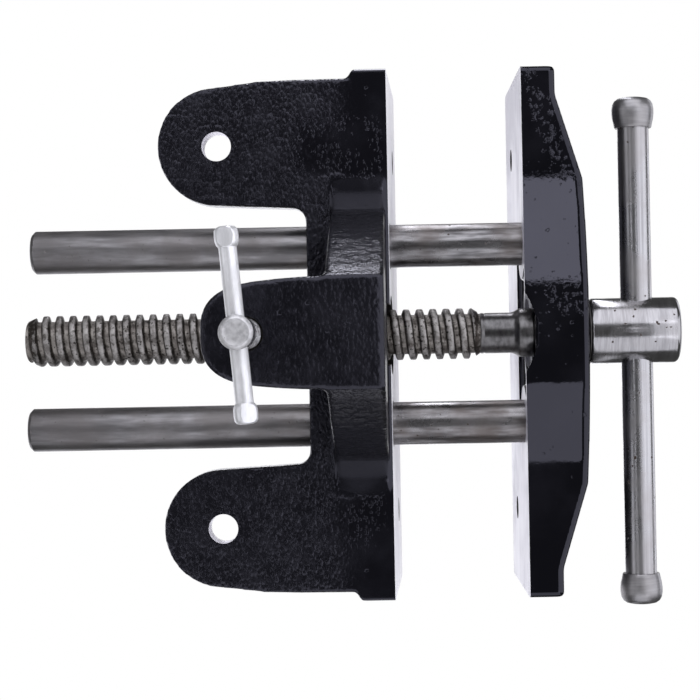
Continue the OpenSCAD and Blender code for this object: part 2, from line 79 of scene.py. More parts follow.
def arc(centre: Flat, radius: float, start: float, end: float, steps: int = 16) -> list[Flat]:
    """Points along an arc in the drawing plane.

    Args:
        centre: The arc's centre, in mm.
        radius: The arc's radius, in mm.
        start: The first angle, in degrees.
        end: The last angle, in degrees.
        steps: The number of straight pieces.

    Returns:
        The points from the first angle to the last.
    """
    angles = [math.radians(start + (end - start) * k / steps) for k in range(steps + 1)]
    return [(centre[0] + radius * math.cos(a), centre[1] + radius * math.sin(a)) for a in angles]


def mirrored(points: Sequence[Flat]) -> list[Flat]:
    """The points mirrored left to right and in reverse order.

    Args:
        points: The points of the right half.

    Returns:
        The points of the left half, so that both together go once round.
    """
    return [(-x, y) for x, y in reversed(points)]


class Shop:
    """Modelling work, done with Blender's own operators."""

    @staticmethod
    def pick(obj: Solid) -> None:
        """Makes one object the only selected and the active one.

        Args:
            obj: The object.
        """
        bpy.ops.object.select_all(action="DESELECT")
        obj.select_set(True)
        bpy.context.view_layer.objects.active = obj

    @staticmethod
    def chain(name: str, points: Sequence[Point], closed: bool = False) -> Solid:
        """Draws a chain of edges, one extruded vertex after the other.

        Args:
            name: The new object's name.
            points: The chain's points, in mm.
            closed: Whether the last point is joined to the first.

        Returns:
            The object, in edit mode with all its vertices selected.
        """
        places = [Vector(p) * MM for p in points]
        bpy.ops.object.select_all(action="DESELECT")
        bpy.ops.mesh.primitive_plane_add(size=MM)
        obj = bpy.context.object
        obj.name = name
        bpy.ops.object.mode_set(mode="EDIT")
        bpy.ops.mesh.select_mode(type="VERT")
        bpy.ops.mesh.select_all(action="SELECT")
        bpy.ops.mesh.merge(type="CENTER")
        bpy.ops.transform.translate(value=places[0])
        for last, place in zip(places, places[1:]):
            bpy.ops.mesh.extrude_region_move(TRANSFORM_OT_translate={"value": place - last})
        bpy.ops.mesh.select_all(action="SELECT")
        if closed:
            bpy.ops.mesh.edge_face_add()
        return obj

    @staticmethod
    def leave(obj: Solid) -> Solid:
        """Merges doubles, turns the faces outwards and leaves edit mode.

        Args:
            obj: The object in edit mode.

        Returns:
            The same object.
        """
        bpy.ops.mesh.select_all(action="SELECT")
        bpy.ops.mesh.remove_doubles(threshold=2e-7)
        bpy.ops.mesh.normals_make_consistent(inside=False)
        bpy.ops.object.mode_set(mode="OBJECT")
        return obj

    @staticmethod
    def plate(name: str, plane: Plane, outline: Sequence[Flat], low: float, high: float) -> Solid:
        """Extrudes an outline into a closed solid.

        Args:
            name: The new object's name.
            plane: The drawing plane.
            outline: The outline's points in the drawing plane, in mm.
            low: Where the solid starts along the plane's normal, in mm.
            high: Where it ends, in mm.

        Returns:
            The solid.
        """
        lift = {
            Plane.XY: lambda a, b: (a, b, low),
            Plane.XZ: lambda a, b: (a, low, b),
            Plane.YZ: lambda a, b: (low, a, b),
        }
        along = {Plane.XY: UP, Plane.XZ: ALONG_Y, Plane.YZ: ALONG_X}
        obj = Shop.chain(name, [lift[plane](a, b) for a, b in outline], closed=True)
        push = Vector(along[plane]) * (high - low) * MM
        bpy.ops.mesh.extrude_region_move(TRANSFORM_OT_translate={"value": push})
        return Shop.leave(obj)

    @staticmethod
    def turned(
        name: str,
        profile: Sequence[Flat],
        centre: Point,
        axis: Point,
        steps: int = 96,
        ring: bool = False,
    ) -> Solid:
        """Turns a profile about an axis, as on a lathe.

        Args:
            name: The new object's name.
            profile: Points (place along the axis, radius), in mm.
            centre: A point of the axis, from which the places are counted, in mm.
            axis: The axis direction.
            steps: The number of sides.
            ring: Whether the profile is a closed loop clear of the axis.

        Returns:
            The turned solid.
        """
        way = Vector(axis).normalized()
        out = way.orthogonal().normalized()
        points = [tuple(Vector(centre) + way * t + out * r) for t, r in profile]
        obj = Shop.chain(name, points, closed=ring)
        if ring:
            bpy.ops.mesh.delete(type="ONLY_FACE")
            bpy.ops.mesh.select_all(action="SELECT")
        bpy.ops.mesh.spin(steps=steps, angle=math.tau, center=Vector(centre) * MM, axis=way)
        return Shop.leave(obj)

    @staticmethod
    def rod(name: str, start: Point, axis: Point, length: float, radius: float, steps: int = 64) -> Solid:
        """A plain round bar for cutting.

        Args:
            name: The new object's name.
            start: The middle of its first end, in mm.
            axis: The direction it runs in.
            length: Its length, in mm.
            radius: Its radius, in mm.
            steps: The number of sides.

        Returns:
            The bar.
        """
        return Shop.turned(name, [(0, 0), (0, radius), (length, radius), (length, 0)], start, axis, steps)

    @staticmethod
    def apply(obj: Solid, kind: str, **settings: object) -> None:
        """Adds a modifier with its settings and applies it.

        Args:
            obj: The object to change.
            kind: Blender's modifier type.
            **settings: The modifier's own values.
        """
        Shop.pick(obj)
        modifier = obj.modifiers.new(kind.lower(), kind)
        for key, value in settings.items():
            setattr(modifier, key, value)
        bpy.ops.object.modifier_apply(modifier=modifier.name)

    @staticmethod
    def combine(obj: Solid, tool: Solid, cut: Cut, finish: Optional[Material] = None) -> None:
        """Joins a solid with another, cuts it with it, or keeps only what they share.

        Args:
            obj: The solid that stays.
            tool: The other solid, which is used up.
            cut: How they are combined.
            finish: What the other solid is painted with first.
        """
        if finish is not None:
            Shop.paint(tool, finish)
        Shop.apply(obj, "BOOLEAN", operation=cut.value, object=tool, solver="EXACT", material_mode="TRANSFER")
        Shop.scrap(tool)

    @staticmethod
    def trim(obj: Solid, place: Vector, way: Vector) -> None:
        """Cuts off what lies past a plane and closes the cut.

        Args:
            obj: The solid.
            place: A point of the plane, in mm.
            way: The plane's normal, towards what is cut off.
        """
        Shop.pick(obj)
        bpy.ops.object.mode_set(mode="EDIT")
        bpy.ops.mesh.select_all(action="SELECT")
        bpy.ops.mesh.bisect(plane_co=place * MM, plane_no=way, use_fill=True, clear_outer=True)
        Shop.leave(obj)

    @staticmethod
    def wound(
        name: str, ridge: Sequence[Point], axis: str, pitch: float, turns: int, steps: int, ends: Flat,
        place: Point
    ) -> Solid:
        """Winds a thread's profile about a main axis, trims both ends and moves it to its place.

        Args:
            name: The new object's name.
            ridge: One pitch of the profile, in mm.
            axis: The axis letter.
            pitch: The pitch, in mm.
            turns: The number of turns.
            steps: The number of sides of a turn.
            ends: Where it is trimmed along the axis, in mm.
            place: Where the axis passes, in mm.

        Returns:
            The thread.
        """
        thread = Shop.chain(name, ridge)
        bpy.ops.object.mode_set(mode="OBJECT")
        Shop.apply(
            thread, "SCREW", axis=axis, screw_offset=pitch * MM, iterations=turns, steps=steps,
            render_steps=steps, use_merge_vertices=True, merge_threshold=1e-6, use_smooth_shade=True,
        )
        way = Vector({"Y": ALONG_Y, "Z": UP}[axis])
        Shop.trim(thread, way * ends[0], -way)
        Shop.trim(thread, way * ends[1], way)
        thread.location = Vector(place) * MM
        Shop.pick(thread)
        bpy.ops.object.transform_apply(location=True, rotation=False, scale=False)
        return thread

    @staticmethod
    def fuse(name: str, parts: Sequence[Solid]) -> Solid:
        """Joins several solids into one.

        Args:
            name: The joined solid's name.
            parts: The solids, which are used up but for the first.

        Returns:
            The joined solid.
        """
        for part in parts[1:]:
            Shop.combine(parts[0], part, Cut.JOIN)
        parts[0].name = name
        return parts[0]

    @staticmethod
    def copy(obj: Solid, name: str, move: Matrix) -> Solid:
        """Copies a finished solid, with a mesh of its own, to another place.

        Args:
            obj: The solid.
            name: The copy's name.
            move: How the copy is moved and turned.

        Returns:
            The copy.
        """
        Shop.pick(obj)
        bpy.ops.object.duplicate(linked=False)
        twin = bpy.context.object
        twin.name = name
        twin.matrix_world = move @ twin.matrix_world
        bpy.ops.object.transform_apply(location=True, rotation=True, scale=True)
        return twin

    @staticmethod
    def scrap(obj: Solid) -> None:
        """Deletes an object and its mesh.

        Args:
            obj: The object.
        """
        mesh = obj.data
        bpy.data.objects.remove(obj, do_unlink=True)
        bpy.data.meshes.remove(mesh)

    @staticmethod
    def cast(obj: Solid, voxel: float, rounds: int) -> None:
        """Melts joined solids into one casting with soft edges and small fillets.

        Args:
            obj: The joined solids.
            voxel: The size of the remesh cells, in mm.
            rounds: The number of smoothing rounds.
        """
        Shop.apply(obj, "REMESH", mode="VOXEL", voxel_size=voxel * MM)
        Shop.apply(obj, "SMOOTH", factor=0.5, iterations=rounds)

    @staticmethod
    def paint(obj: Solid, material: Material) -> None:
        """Gives a solid one material."""
        obj.data.materials.clear()
        obj.data.materials.append(material)

    @staticmethod
    def smooth(obj: Solid, degrees: float = 35.0) -> None:
        """Shades an object smooth except at edges sharper than an angle."""
        Shop.pick(obj)
        bpy.ops.object.shade_smooth_by_angle(angle=math.radians(degrees))

    @staticmethod
    def finish(obj: Solid, material: Material) -> None:
        """Gives a turned piece its one material and smooth sides."""
        Shop.paint(obj, material)
        Shop.smooth(obj)

    @staticmethod
    def seat(obj: Solid, body: str, slot: str, *nodes: str) -> None:
        """Ties a finished piece to its body and hides the CAD nodes that it stands for.

        Args:
            obj: The finished piece.
            body: The body that it moves with.
            slot: The record's material slot; not used.
            *nodes: The CAD nodes that it replaces.
        """
        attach(obj, body)
        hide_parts(*nodes)
        obj.data.calc_loop_triangles()
        LOG.info("%s: %d triangles, rides on %s", obj.name, len(obj.data.loop_triangles), body)


class Value:
    """An output socket, which plain arithmetic wires into math nodes."""

    def __init__(self, graph: "Graph", socket: bpy.types.NodeSocket) -> None:
        """Holds one output of a graph's node."""
        self.graph = graph
        self.socket = socket

    def __add__(self, other: object) -> "Value":
        """The sum with a number or a value."""
        return self.graph.math("ADD", self, other)

    def __sub__(self, other: object) -> "Value":
        """The value less a number or a value."""
        return self.graph.math("SUBTRACT", self, other)

    def __rsub__(self, other: float) -> "Value":
        """A number less the value."""
        return self.graph.math("SUBTRACT", other, self)

    def __mul__(self, other: object) -> "Value":
        """The product with a number or a value."""
        return self.graph.math("MULTIPLY", self, other)

    __rmul__ = __mul__


class Node:
    """A node of a graph, with its outputs by name or place."""

    def __init__(self, graph: "Graph", node: bpy.types.Node) -> None:
        """Holds one node of a graph."""
        self.graph = graph
        self.node = node

    def __getitem__(self, key: Union[str, int]) -> Value:
        """One output."""
        return Value(self.graph, self.node.outputs[key])


class Graph:
    """A node tree that is wired in plain calls."""

    def __init__(self, tree: bpy.types.NodeTree) -> None:
        """Starts from an empty tree."""
        self.tree = tree
        tree.nodes.clear()

    def add(self, kind: str, values: Optional[dict] = None, **settings: object) -> Node:
        """Adds one node.

        Args:
            kind: The node's type.
            values: Numbers, colours or values to link, by input name or place.
            **settings: The node's own settings.

        Returns:
            The node.
        """
        node = self.tree.nodes.new(kind)
        for key, value in settings.items():
            setattr(node, key, value)
        for key, value in (values or {}).items():
            if isinstance(value, Value):
                self.tree.links.new(value.socket, node.inputs[key])
            else:
                node.inputs[key].default_value = value
        return Node(self, node)

    def math(self, operation: str, a: object, b: object = 0.0, clamp: bool = False) -> Value:
        """A math node on two numbers or values; returns its output."""
        return self.add("ShaderNodeMath", {0: a, 1: b}, operation=operation, use_clamp=clamp)[0]

    def vector(self, operation: str, a: Value, b: object) -> Value:
        """A vector math node; returns its vector."""
        return self.add("ShaderNodeVectorMath", {0: a, 1: b}, operation=operation)[0]

    def ramp(
        self, value: Value, low: object, high: object, out_low: float = 0.0, out_high: float = 1.0
    ) -> Value:
        """A smooth map from one range to another.

        Args:
            value: The value.
            low: Where the range starts.
            high: Where it ends.
            out_low: What the start is mapped to.
            out_high: What the end is mapped to.

        Returns:
            The mapped value.
        """
        ends = {"From Min": low, "From Max": high, "To Min": out_low, "To Max": out_high}
        return self.add(
            "ShaderNodeMapRange", {"Value": value, **ends}, interpolation_type="SMOOTHSTEP"
        )["Result"]

    def band(self, value: Value, low: Flat, high: Flat) -> Value:
        """1 between two soft edges and 0 outside them."""
        return self.ramp(value, *low) - self.ramp(value, *high)

    def tint(self, factor: Value, a: object, b: object) -> Value:
        """A colour between two colours; returns its output."""
        return self.add("ShaderNodeMix", {0: factor, 6: a, 7: b}, data_type="RGBA")[2]

    def noise(
        self, vector: Value, scale: object, detail: float = 3.0, rough: float = 0.5, output: str = "Fac"
    ) -> Value:
        """A noise texture.

        Args:
            vector: Where it is looked up.
            scale: Its scale.
            detail: How many finer layers it has.
            rough: How strong they are.
            output: Which of its outputs is used.

        Returns:
            The output.
        """
        values = {"Vector": vector, "Scale": scale, "Detail": detail, "Roughness": rough}
        return self.add("ShaderNodeTexNoise", values)[output]

    def spot(self) -> Value:
        """Object coordinates, in metres."""
        return self.add("ShaderNodeTexCoord")["Object"]

    def place(self, scale: Point = (1, 1, 1)) -> Value:
        """Object coordinates, stretched along each axis; returns the vector."""
        return self.add("ShaderNodeMapping", {"Vector": self.spot(), "Scale": scale})["Vector"]


class Effects:
    """The surface effects that several finishes share, each a node group that is built once."""

    _groups: dict[str, bpy.types.NodeTree] = {}

    @classmethod
    def group(
        cls, name: str, inputs: dict[str, Optional[float]], outputs: Sequence[str]
    ) -> tuple[Graph, Node]:
        """Makes an empty group with its sockets.

        Args:
            name: The group's name.
            inputs: Each input's default value, or None for a vector.
            outputs: The names of the value outputs.

        Returns:
            The group's graph and its input node.
        """
        tree = bpy.data.node_groups.new(name, "ShaderNodeTree")
        for label, value in inputs.items():
            kind = "NodeSocketVector" if value is None else "NodeSocketFloat"
            socket = tree.interface.new_socket(name=label, in_out="INPUT", socket_type=kind)
            if value is not None:
                socket.default_value = value
        for label in outputs:
            tree.interface.new_socket(name=label, in_out="OUTPUT", socket_type="NodeSocketFloat")
        cls._groups[name] = tree
        graph = Graph(tree)
        return graph, graph.add("NodeGroupInput")

    @classmethod
    def use(cls, graph: Graph, name: str, values: dict) -> Node:
        """Places a group in a material, building it first where it is new.

        Args:
            graph: The material's graph.
            name: The group's name.
            values: Its input values.

        Returns:
            The group node.
        """
        if name not in cls._groups:
            getattr(cls, "_make_" + name)()
        return graph.add("ShaderNodeGroup", values, node_tree=cls._groups[name])

    @classmethod
    def pits(
        cls, graph: Graph, spot: Value, scale: float, size: float, share: object, patches: float = 60.0
    ) -> Value:
        """Places small round pits in a material.

        Args:
            graph: The material's graph.
            spot: Where they are looked up.
            scale: How close they lie.
            size: How large they are in their cells.
            share: The share of cells that have one.
            patches: The scale of the patches that they gather in.

        Returns:
            A mask that is 1 in a pit.
        """
        values = {"Vector": spot, "Scale": scale, "Size": size, "Share": share, "Patch Scale": patches}
        return cls.use(graph, "pits", values)["Mask"]

    @classmethod
    def _make_pits(cls) -> None:
        """Small round pits, thrown at random: a mask that is 1 in a pit."""
        inputs = {"Vector": None, "Scale": 500.0, "Size": 0.25, "Share": 0.3, "Patch Scale": 60.0}
        graph, given = cls.group("pits", inputs, ["Mask"])
        spot, size = given["Vector"], given["Size"]
        shake = graph.vector(
            "MULTIPLY", graph.noise(spot, 900.0, 2.0, output="Color"), (0.0012, 0.0012, 0.0012)
        )
        moved = graph.vector("ADD", spot, shake)
        cells = graph.add("ShaderNodeTexVoronoi", {"Vector": moved, "Scale": given["Scale"]}, feature="F1")
        chance = graph.add("ShaderNodeSeparateColor", {"Color": cells["Color"]})[0]
        patch = graph.ramp(graph.noise(spot, given["Patch Scale"], 2.0), 0.35, 0.65, 0.1, 2.0)
        chosen = graph.math("LESS_THAN", chance, given["Share"] * patch)
        depth = graph.ramp(cells["Distance"], size, size * 0.6)
        graph.add("NodeGroupOutput", {"Mask": depth * chosen})

    @classmethod
    def _make_streaks(cls) -> None:
        """Long fine lines from grinding or drawing, with slow blotches: Line, Blotch and Height."""
        graph, given = cls.group(
            "streaks", {"Vector": None, "Blotch Scale": 60.0}, ["Line", "Blotch", "Height"]
        )
        near = graph.noise(given["Vector"], 1.0, 4.0)
        far = graph.noise(given["Vector"], 0.23, 2.0)
        blotch = graph.ramp(graph.noise(graph.spot(), given["Blotch Scale"], 5.0, 0.6), 0.35, 0.7)
        both = near * 0.55 + far * 0.45
        graph.add("NodeGroupOutput", {"Line": graph.ramp(both, 0.36, 0.64), "Blotch": blotch, "Height": both})

    @classmethod
    def _make_peel(cls) -> None:
        """The wrinkled skin of thick sprayed paint, like fine leather: Height, and Fleck, the raised skin
        where the colour is painted lighter.
        """
        graph, given = cls.group("peel", {"Vector": None, "Scale": 700.0}, ["Height", "Fleck"])
        spot, scale = given["Vector"], given["Scale"]
        bend = graph.noise(spot, scale * 0.7, 2.0, output="Color")
        push = graph.add("ShaderNodeVectorMath", {0: bend, "Scale": 0.0008}, operation="SCALE")[0]
        values = {"Vector": graph.vector("ADD", spot, push), "Scale": scale, "Smoothness": 0.5}
        domes = 1.0 - graph.add("ShaderNodeTexVoronoi", values, feature="SMOOTH_F1")["Distance"]
        skin = graph.noise(spot, scale * 0.6, 2.0)
        graph.add(
            "NodeGroupOutput", {"Height": domes * 0.8 + skin * 0.8, "Fleck": graph.ramp(skin, 0.5, 0.7)}
        )

    @classmethod
    def _make_about_axis(cls) -> None:
        """How far a point lies from a screw's axis: 0 at the thread's root, 1 at its crest."""
        inputs = {"Root": 0.0058, "Crest": 0.0074, "Centre": None, "Keep": None}
        graph, given = cls.group("about_axis", inputs, ["Rise"])
        away = graph.vector("SUBTRACT", graph.spot(), given["Centre"])
        flat = graph.vector("MULTIPLY", away, given["Keep"])
        far = graph.add("ShaderNodeVectorMath", {0: flat}, operation="LENGTH")["Value"]
        values = {"Value": far, "From Min": given["Root"], "From Max": given["Crest"]}
        graph.add("NodeGroupOutput", {"Rise": graph.add("ShaderNodeMapRange", values)["Result"]})


def surface(name: str) -> tuple[Material, Graph]:
    """Makes an empty material.

    Args:
        name: The material's name.

    Returns:
        The material and its graph.
    """
    material = bpy.data.materials.new(name)
    material.use_nodes = True
    return material, Graph(material.node_tree)


def close(
    graph: Graph, values: dict, bump: Optional[Value] = None, strength: float = 0.2, depth: float = 0.2
) -> None:
    """Ends a material in a Principled shader.

    Args:
        graph: The material's graph.
        values: The shader's values and linked sockets.
        bump: A height that bends the normal.
        strength: How strongly it does.
        depth: The height's real size, in mm.
    """
    if bump is not None:
        node = graph.add("ShaderNodeBump", {"Strength": strength, "Distance": depth * MM, "Height": bump})
        values = {**values, "Normal": node["Normal"]}
    shader = graph.add("ShaderNodeBsdfPrincipled", values)
    graph.add("ShaderNodeOutputMaterial", {"Surface": shader["BSDF"]})


@dataclass(frozen=True)
class RearPaint:
    """Thick black paint on the rear jaw.

    It is leathery on the ears and the tongue, drawn out on the web and smooth on the jaw.
    """

    name: str = "rear_paint"
    base: Point = (0.0022, 0.0021, 0.0034)
    dusty: Point = (0.0045, 0.0044, 0.0064)
    rubbed_and_lit: Point = (0.007, 0.0068, 0.0095)
    cell_scale: float = 1050.0
    fleck_scale: float = 1100.0
    drawn: float = 3.4
    depth: float = 0.29
    roughness: float = 0.22

    def make(self) -> Material:
        """Builds the material.

        Returns:
            The material.
        """
        material, graph = surface(self.name)
        place = graph.add("ShaderNodeSeparateXYZ", {0: graph.place()})
        across, deep = graph.math("ABSOLUTE", place["X"]), place["Z"]
        # The zones, in metres: the seat on the bench, the web's foot, its steep flank and the tongue
        seat = graph.ramp(place["Y"], -0.044, -0.03)
        steep = graph.ramp(deep, -0.0010, -0.0019)
        foot = graph.ramp(deep, -0.0001, -0.0005) - steep
        leather = graph.math("MAXIMUM", graph.math("SUBTRACT", seat, foot, clamp=True), steep)
        # Flecks gather where the ears run into the jaw, beside the web
        beside = graph.band(across, (0.045, 0.048), (0.056, 0.066))
        span = graph.band(place["Y"], (-0.049, -0.045), (-0.027, -0.02))
        fleck = beside * span * graph.ramp(place["X"], 0.005, -0.005, 0.25, 1.0)
        peel = Effects.use(graph, "peel", {"Vector": graph.place((0.68, 1, 1)), "Scale": self.cell_scale})
        drawn = graph.noise(graph.place((1, 0.6, 0.5)), 520.0, 3.0)
        slow = graph.noise(graph.place(), 130.0, 4.0)
        pits = Effects.pits(graph, graph.place(), 420.0, 0.3, 0.05)
        tongue = graph.ramp(deep, -0.052, -0.057)
        flank = steep - tongue
        calm = graph.math("MAXIMUM", graph.math("MAXIMUM", flank, fleck), tongue * 0.55)
        amount = graph.math("SUBTRACT", leather, calm * 0.7, clamp=True)
        height = peel["Height"] * amount + drawn * (flank * self.drawn)
        grain = Effects.pits(graph, graph.place((0.6, 1, 1)), self.fleck_scale, 0.42, 0.9, 130.0)
        height = height + grain * fleck * 0.8 + slow * 0.06 - pits * 0.25
        dust = graph.ramp(graph.noise(graph.place(), 90.0, 4.0), 0.4, 0.75)
        colour = graph.tint(dust, (*self.base, 1), (*self.dusty, 1))
        # The raised skin is painted lighter: rubbed paint, and painted glints.
        colour = graph.tint(peel["Fleck"] * leather, colour, (*self.rubbed_and_lit, 1))
        rough = graph.ramp(leather, 0, 1, 0.12, self.roughness) + dust * 0.08 - fleck * 0.1 + flank * 0.07
        # The knee of the web is matt, so that it mirrors no lamp
        crease = graph.band(deep, (-0.0007, -0.0011), (-0.0035, -0.006))
        rough = rough + crease * 0.4
        close(graph, {"Base Color": colour, "Roughness": rough, **PAINT_SHINE}, height, 0.8, self.depth)
        return material


@dataclass(frozen=True)
class FrontPaint:
    """Glossy black paint on the front jaw, which shows the lamps, with small pits."""

    name: str = "front_paint"
    base: Point = (0.0018, 0.0018, 0.0028)
    dusty: Point = (0.0045, 0.0044, 0.0062)
    wave_scale: float = 150.0
    wave: float = 0.05
    pit_share: float = 0.07
    lump_scale: float = 620.0
    lump: float = 0.75
    depth: float = 0.3

    def make(self) -> Material:
        """Builds the material.

        Returns:
            The material.
        """
        material, graph = surface(self.name)
        place = graph.add("ShaderNodeSeparateXYZ", {0: graph.place()})
        across, side = graph.math("ABSOLUTE", place["X"]), place["X"]
        coarse = graph.ramp(side, 0.004, -0.004, 0.3, 1.0)
        waves = graph.noise(graph.place(), self.wave_scale, 6.0, 0.55) * coarse
        # Drips run along the left shoulder and gather above the thick middle
        away = place["Y"] + 0.1198 - across * 0.39
        shoulder = graph.ramp(graph.math("ABSOLUTE", away), 0.0045, 0.002) * graph.ramp(side, -0.043, -0.047)
        middle = graph.band(side, (-0.0145, -0.0125), (-0.0075, -0.004))
        middle = middle * graph.ramp(place["Y"], -0.094, -0.098)
        patch = graph.ramp(graph.noise(graph.place(), 230.0, 1.0), 0.38, 0.58)
        lumps = graph.ramp(graph.noise(graph.place(), self.lump_scale, 2.0), 0.52, 0.7) * patch
        # The paint gathered at the lower edge as it dried
        low = graph.ramp(place["Z"], 0.016, 0.006, 0.06, 1.0)
        lumps = lumps * ((shoulder + middle) * low)
        share = self.pit_share * coarse * low
        large = Effects.pits(graph, graph.place(), 520.0, 0.3, share, 90.0)
        fine = Effects.pits(graph, graph.place(), 1000.0, 0.3, share)
        dents = large + fine * 0.4
        height = waves * self.wave - dents * 0.4 + lumps * self.lump
        dust = graph.ramp(graph.noise(graph.place(), 70.0, 5.0), 0.4, 0.75)
        colour = graph.tint(dust, (*self.base, 1), (*self.dusty, 1))
        rough = graph.ramp(dust, 0, 1, 0.012, 0.03)
        close(graph, {"Base Color": colour, "Roughness": rough, **PAINT_SHINE}, height, 1.0, self.depth)
        return material


@dataclass(frozen=True)
class SteelFinish:
    """Bare steel with lines along or around it, stains and pits."""

    name: str
    dark: Point
    light: Point
    stain: Point
    stretch: Point
    roughness: float
    stain_share: float
    pit_scale: float = 500.0
    pit_share: float = 0.0
    pit_size: float = 0.24
    pit_patches: float = 45.0
    blotch_scale: float = 70.0
    line_depth: float = 0.03
    metal: float = 1.0
    dull_tail: float = 0.0
    tail: Flat = (-0.045, -0.005)

    def make(self) -> Material:
        """Builds the material.

        Returns:
            The material.
        """
        material, graph = surface(self.name)
        lines = Effects.use(
            graph, "streaks", {"Vector": graph.place(self.stretch), "Blotch Scale": self.blotch_scale}
        )
        tone = graph.tint(lines["Line"], (*self.dark, 1), (*self.light, 1))
        tone = graph.tint(lines["Blotch"] * self.stain_share, tone, (*self.stain, 1))
        rough = graph.ramp(lines["Blotch"], 0, 1, self.roughness, self.roughness + 0.12)
        metal, height = self.metal, lines["Height"]
        if self.pit_share:
            mask = Effects.pits(
                graph, graph.place(), self.pit_scale, self.pit_size, self.pit_share, self.pit_patches
            )
            tone = graph.tint(mask, tone, RUST)
            rough = rough + mask * 0.35
            metal = self.metal * (1.0 - mask * 0.8)
            height = height - mask * 1.6
        if self.dull_tail:
            along = graph.add("ShaderNodeSeparateXYZ", {0: graph.place()})["Y"]
            rough = rough + graph.ramp(along, *self.tail, 0.0, self.dull_tail)
            tone = graph.tint(graph.ramp(along, *self.tail, 0.0, 0.4), tone, (*self.light, 1))
        close(
            graph, {"Base Color": tone, "Roughness": rough, "Metallic": metal}, height, 0.35, self.line_depth
        )
        return material


@dataclass(frozen=True)
class ThreadFinish:
    """Rolled steel thread, its tone painted by radius as light and shade: rubbed crests painted bright as if
    lit, flanks painted dark as in shade, and the roots between the turns painted paler as if lit.
    """

    name: str
    centre: Point
    keep: Point
    root: float
    crest: float
    # Painted light and shade by radius: pale for the thread's roots and crests, dark for its flanks.
    lit_groove: Point = (0.3, 0.28, 0.255)
    flank: Point = (0.056, 0.049, 0.042)
    crown: Point = (0.42, 0.405, 0.385)
    stain: Point = (0.085, 0.073, 0.064)
    rust: Point = (0.02, 0.015, 0.012)
    roughness: float = 0.4

    def make(self) -> Material:
        """Builds the material.

        Returns:
            The material.
        """
        material, graph = surface(self.name)
        values = {
            "Centre": tuple(c * MM for c in self.centre), "Keep": self.keep, "Root": self.root * MM,
            "Crest": self.crest * MM
        }
        rise = Effects.use(graph, "about_axis", values)["Rise"]
        speckle_noise = graph.noise(graph.place(), 620.0, 6.0, 0.68)
        # The tone follows the radius: the roots and the rubbed crests are painted light, the flanks painted
        # shade.
        level = rise + graph.ramp(speckle_noise, 0.32, 0.68, -0.26, 0.26)
        tone = graph.tint(graph.ramp(level, 0.02, 0.3), (*self.lit_groove, 1), (*self.flank, 1))
        tone = graph.tint(graph.ramp(level, 0.68, 0.95), tone, (*self.crown, 1))
        stain = graph.ramp(graph.noise(graph.place(), 330.0, 6.0, 0.65), 0.42, 0.62)
        tone = graph.tint(stain * 0.7, tone, (*self.stain, 1))
        pits = Effects.pits(graph, graph.place(), 900.0, 0.34, 0.3)
        tone = graph.tint(pits * 0.85, tone, (*self.rust, 1))
        rough = graph.ramp(speckle_noise, 0.3, 0.7, self.roughness, self.roughness + 0.18)
        metal = graph.ramp(level, 0.0, 0.6, 0.75, 0.95)
        height = speckle_noise - pits * 0.8
        close(graph, {"Base Color": tone, "Roughness": rough, "Metallic": metal}, height, 0.8, 0.22)
        return material


@dataclass(frozen=True)
class GroundFinish:
    """A ground jaw face: bare iron with fine cross lines, painted paler or darker per face as painted light
    and shade.
    """

    name: str
    dark: Point
    light: Point
    stretch: Point = (18, 18, 900)
    blotch_scale: float = 40.0
    metal: float = 0.15

    def make(self) -> Material:
        """Builds the material.

        Returns:
            The material.
        """
        material, graph = surface(self.name)
        lines = Effects.use(
            graph, "streaks", {"Vector": graph.place(self.stretch), "Blotch Scale": self.blotch_scale}
        )
        tone = graph.tint(lines["Line"], (*self.dark, 1), (*self.light, 1))
        tone = graph.tint(lines["Blotch"] * 0.25, tone, (*self.dark, 1))
        rough = graph.ramp(lines["Blotch"], 0, 1, 0.36, 0.5)
        close(
            graph, {"Base Color": tone, "Roughness": rough, "Metallic": self.metal}, lines["Height"], 0.3,
            0.03
        )
        return material


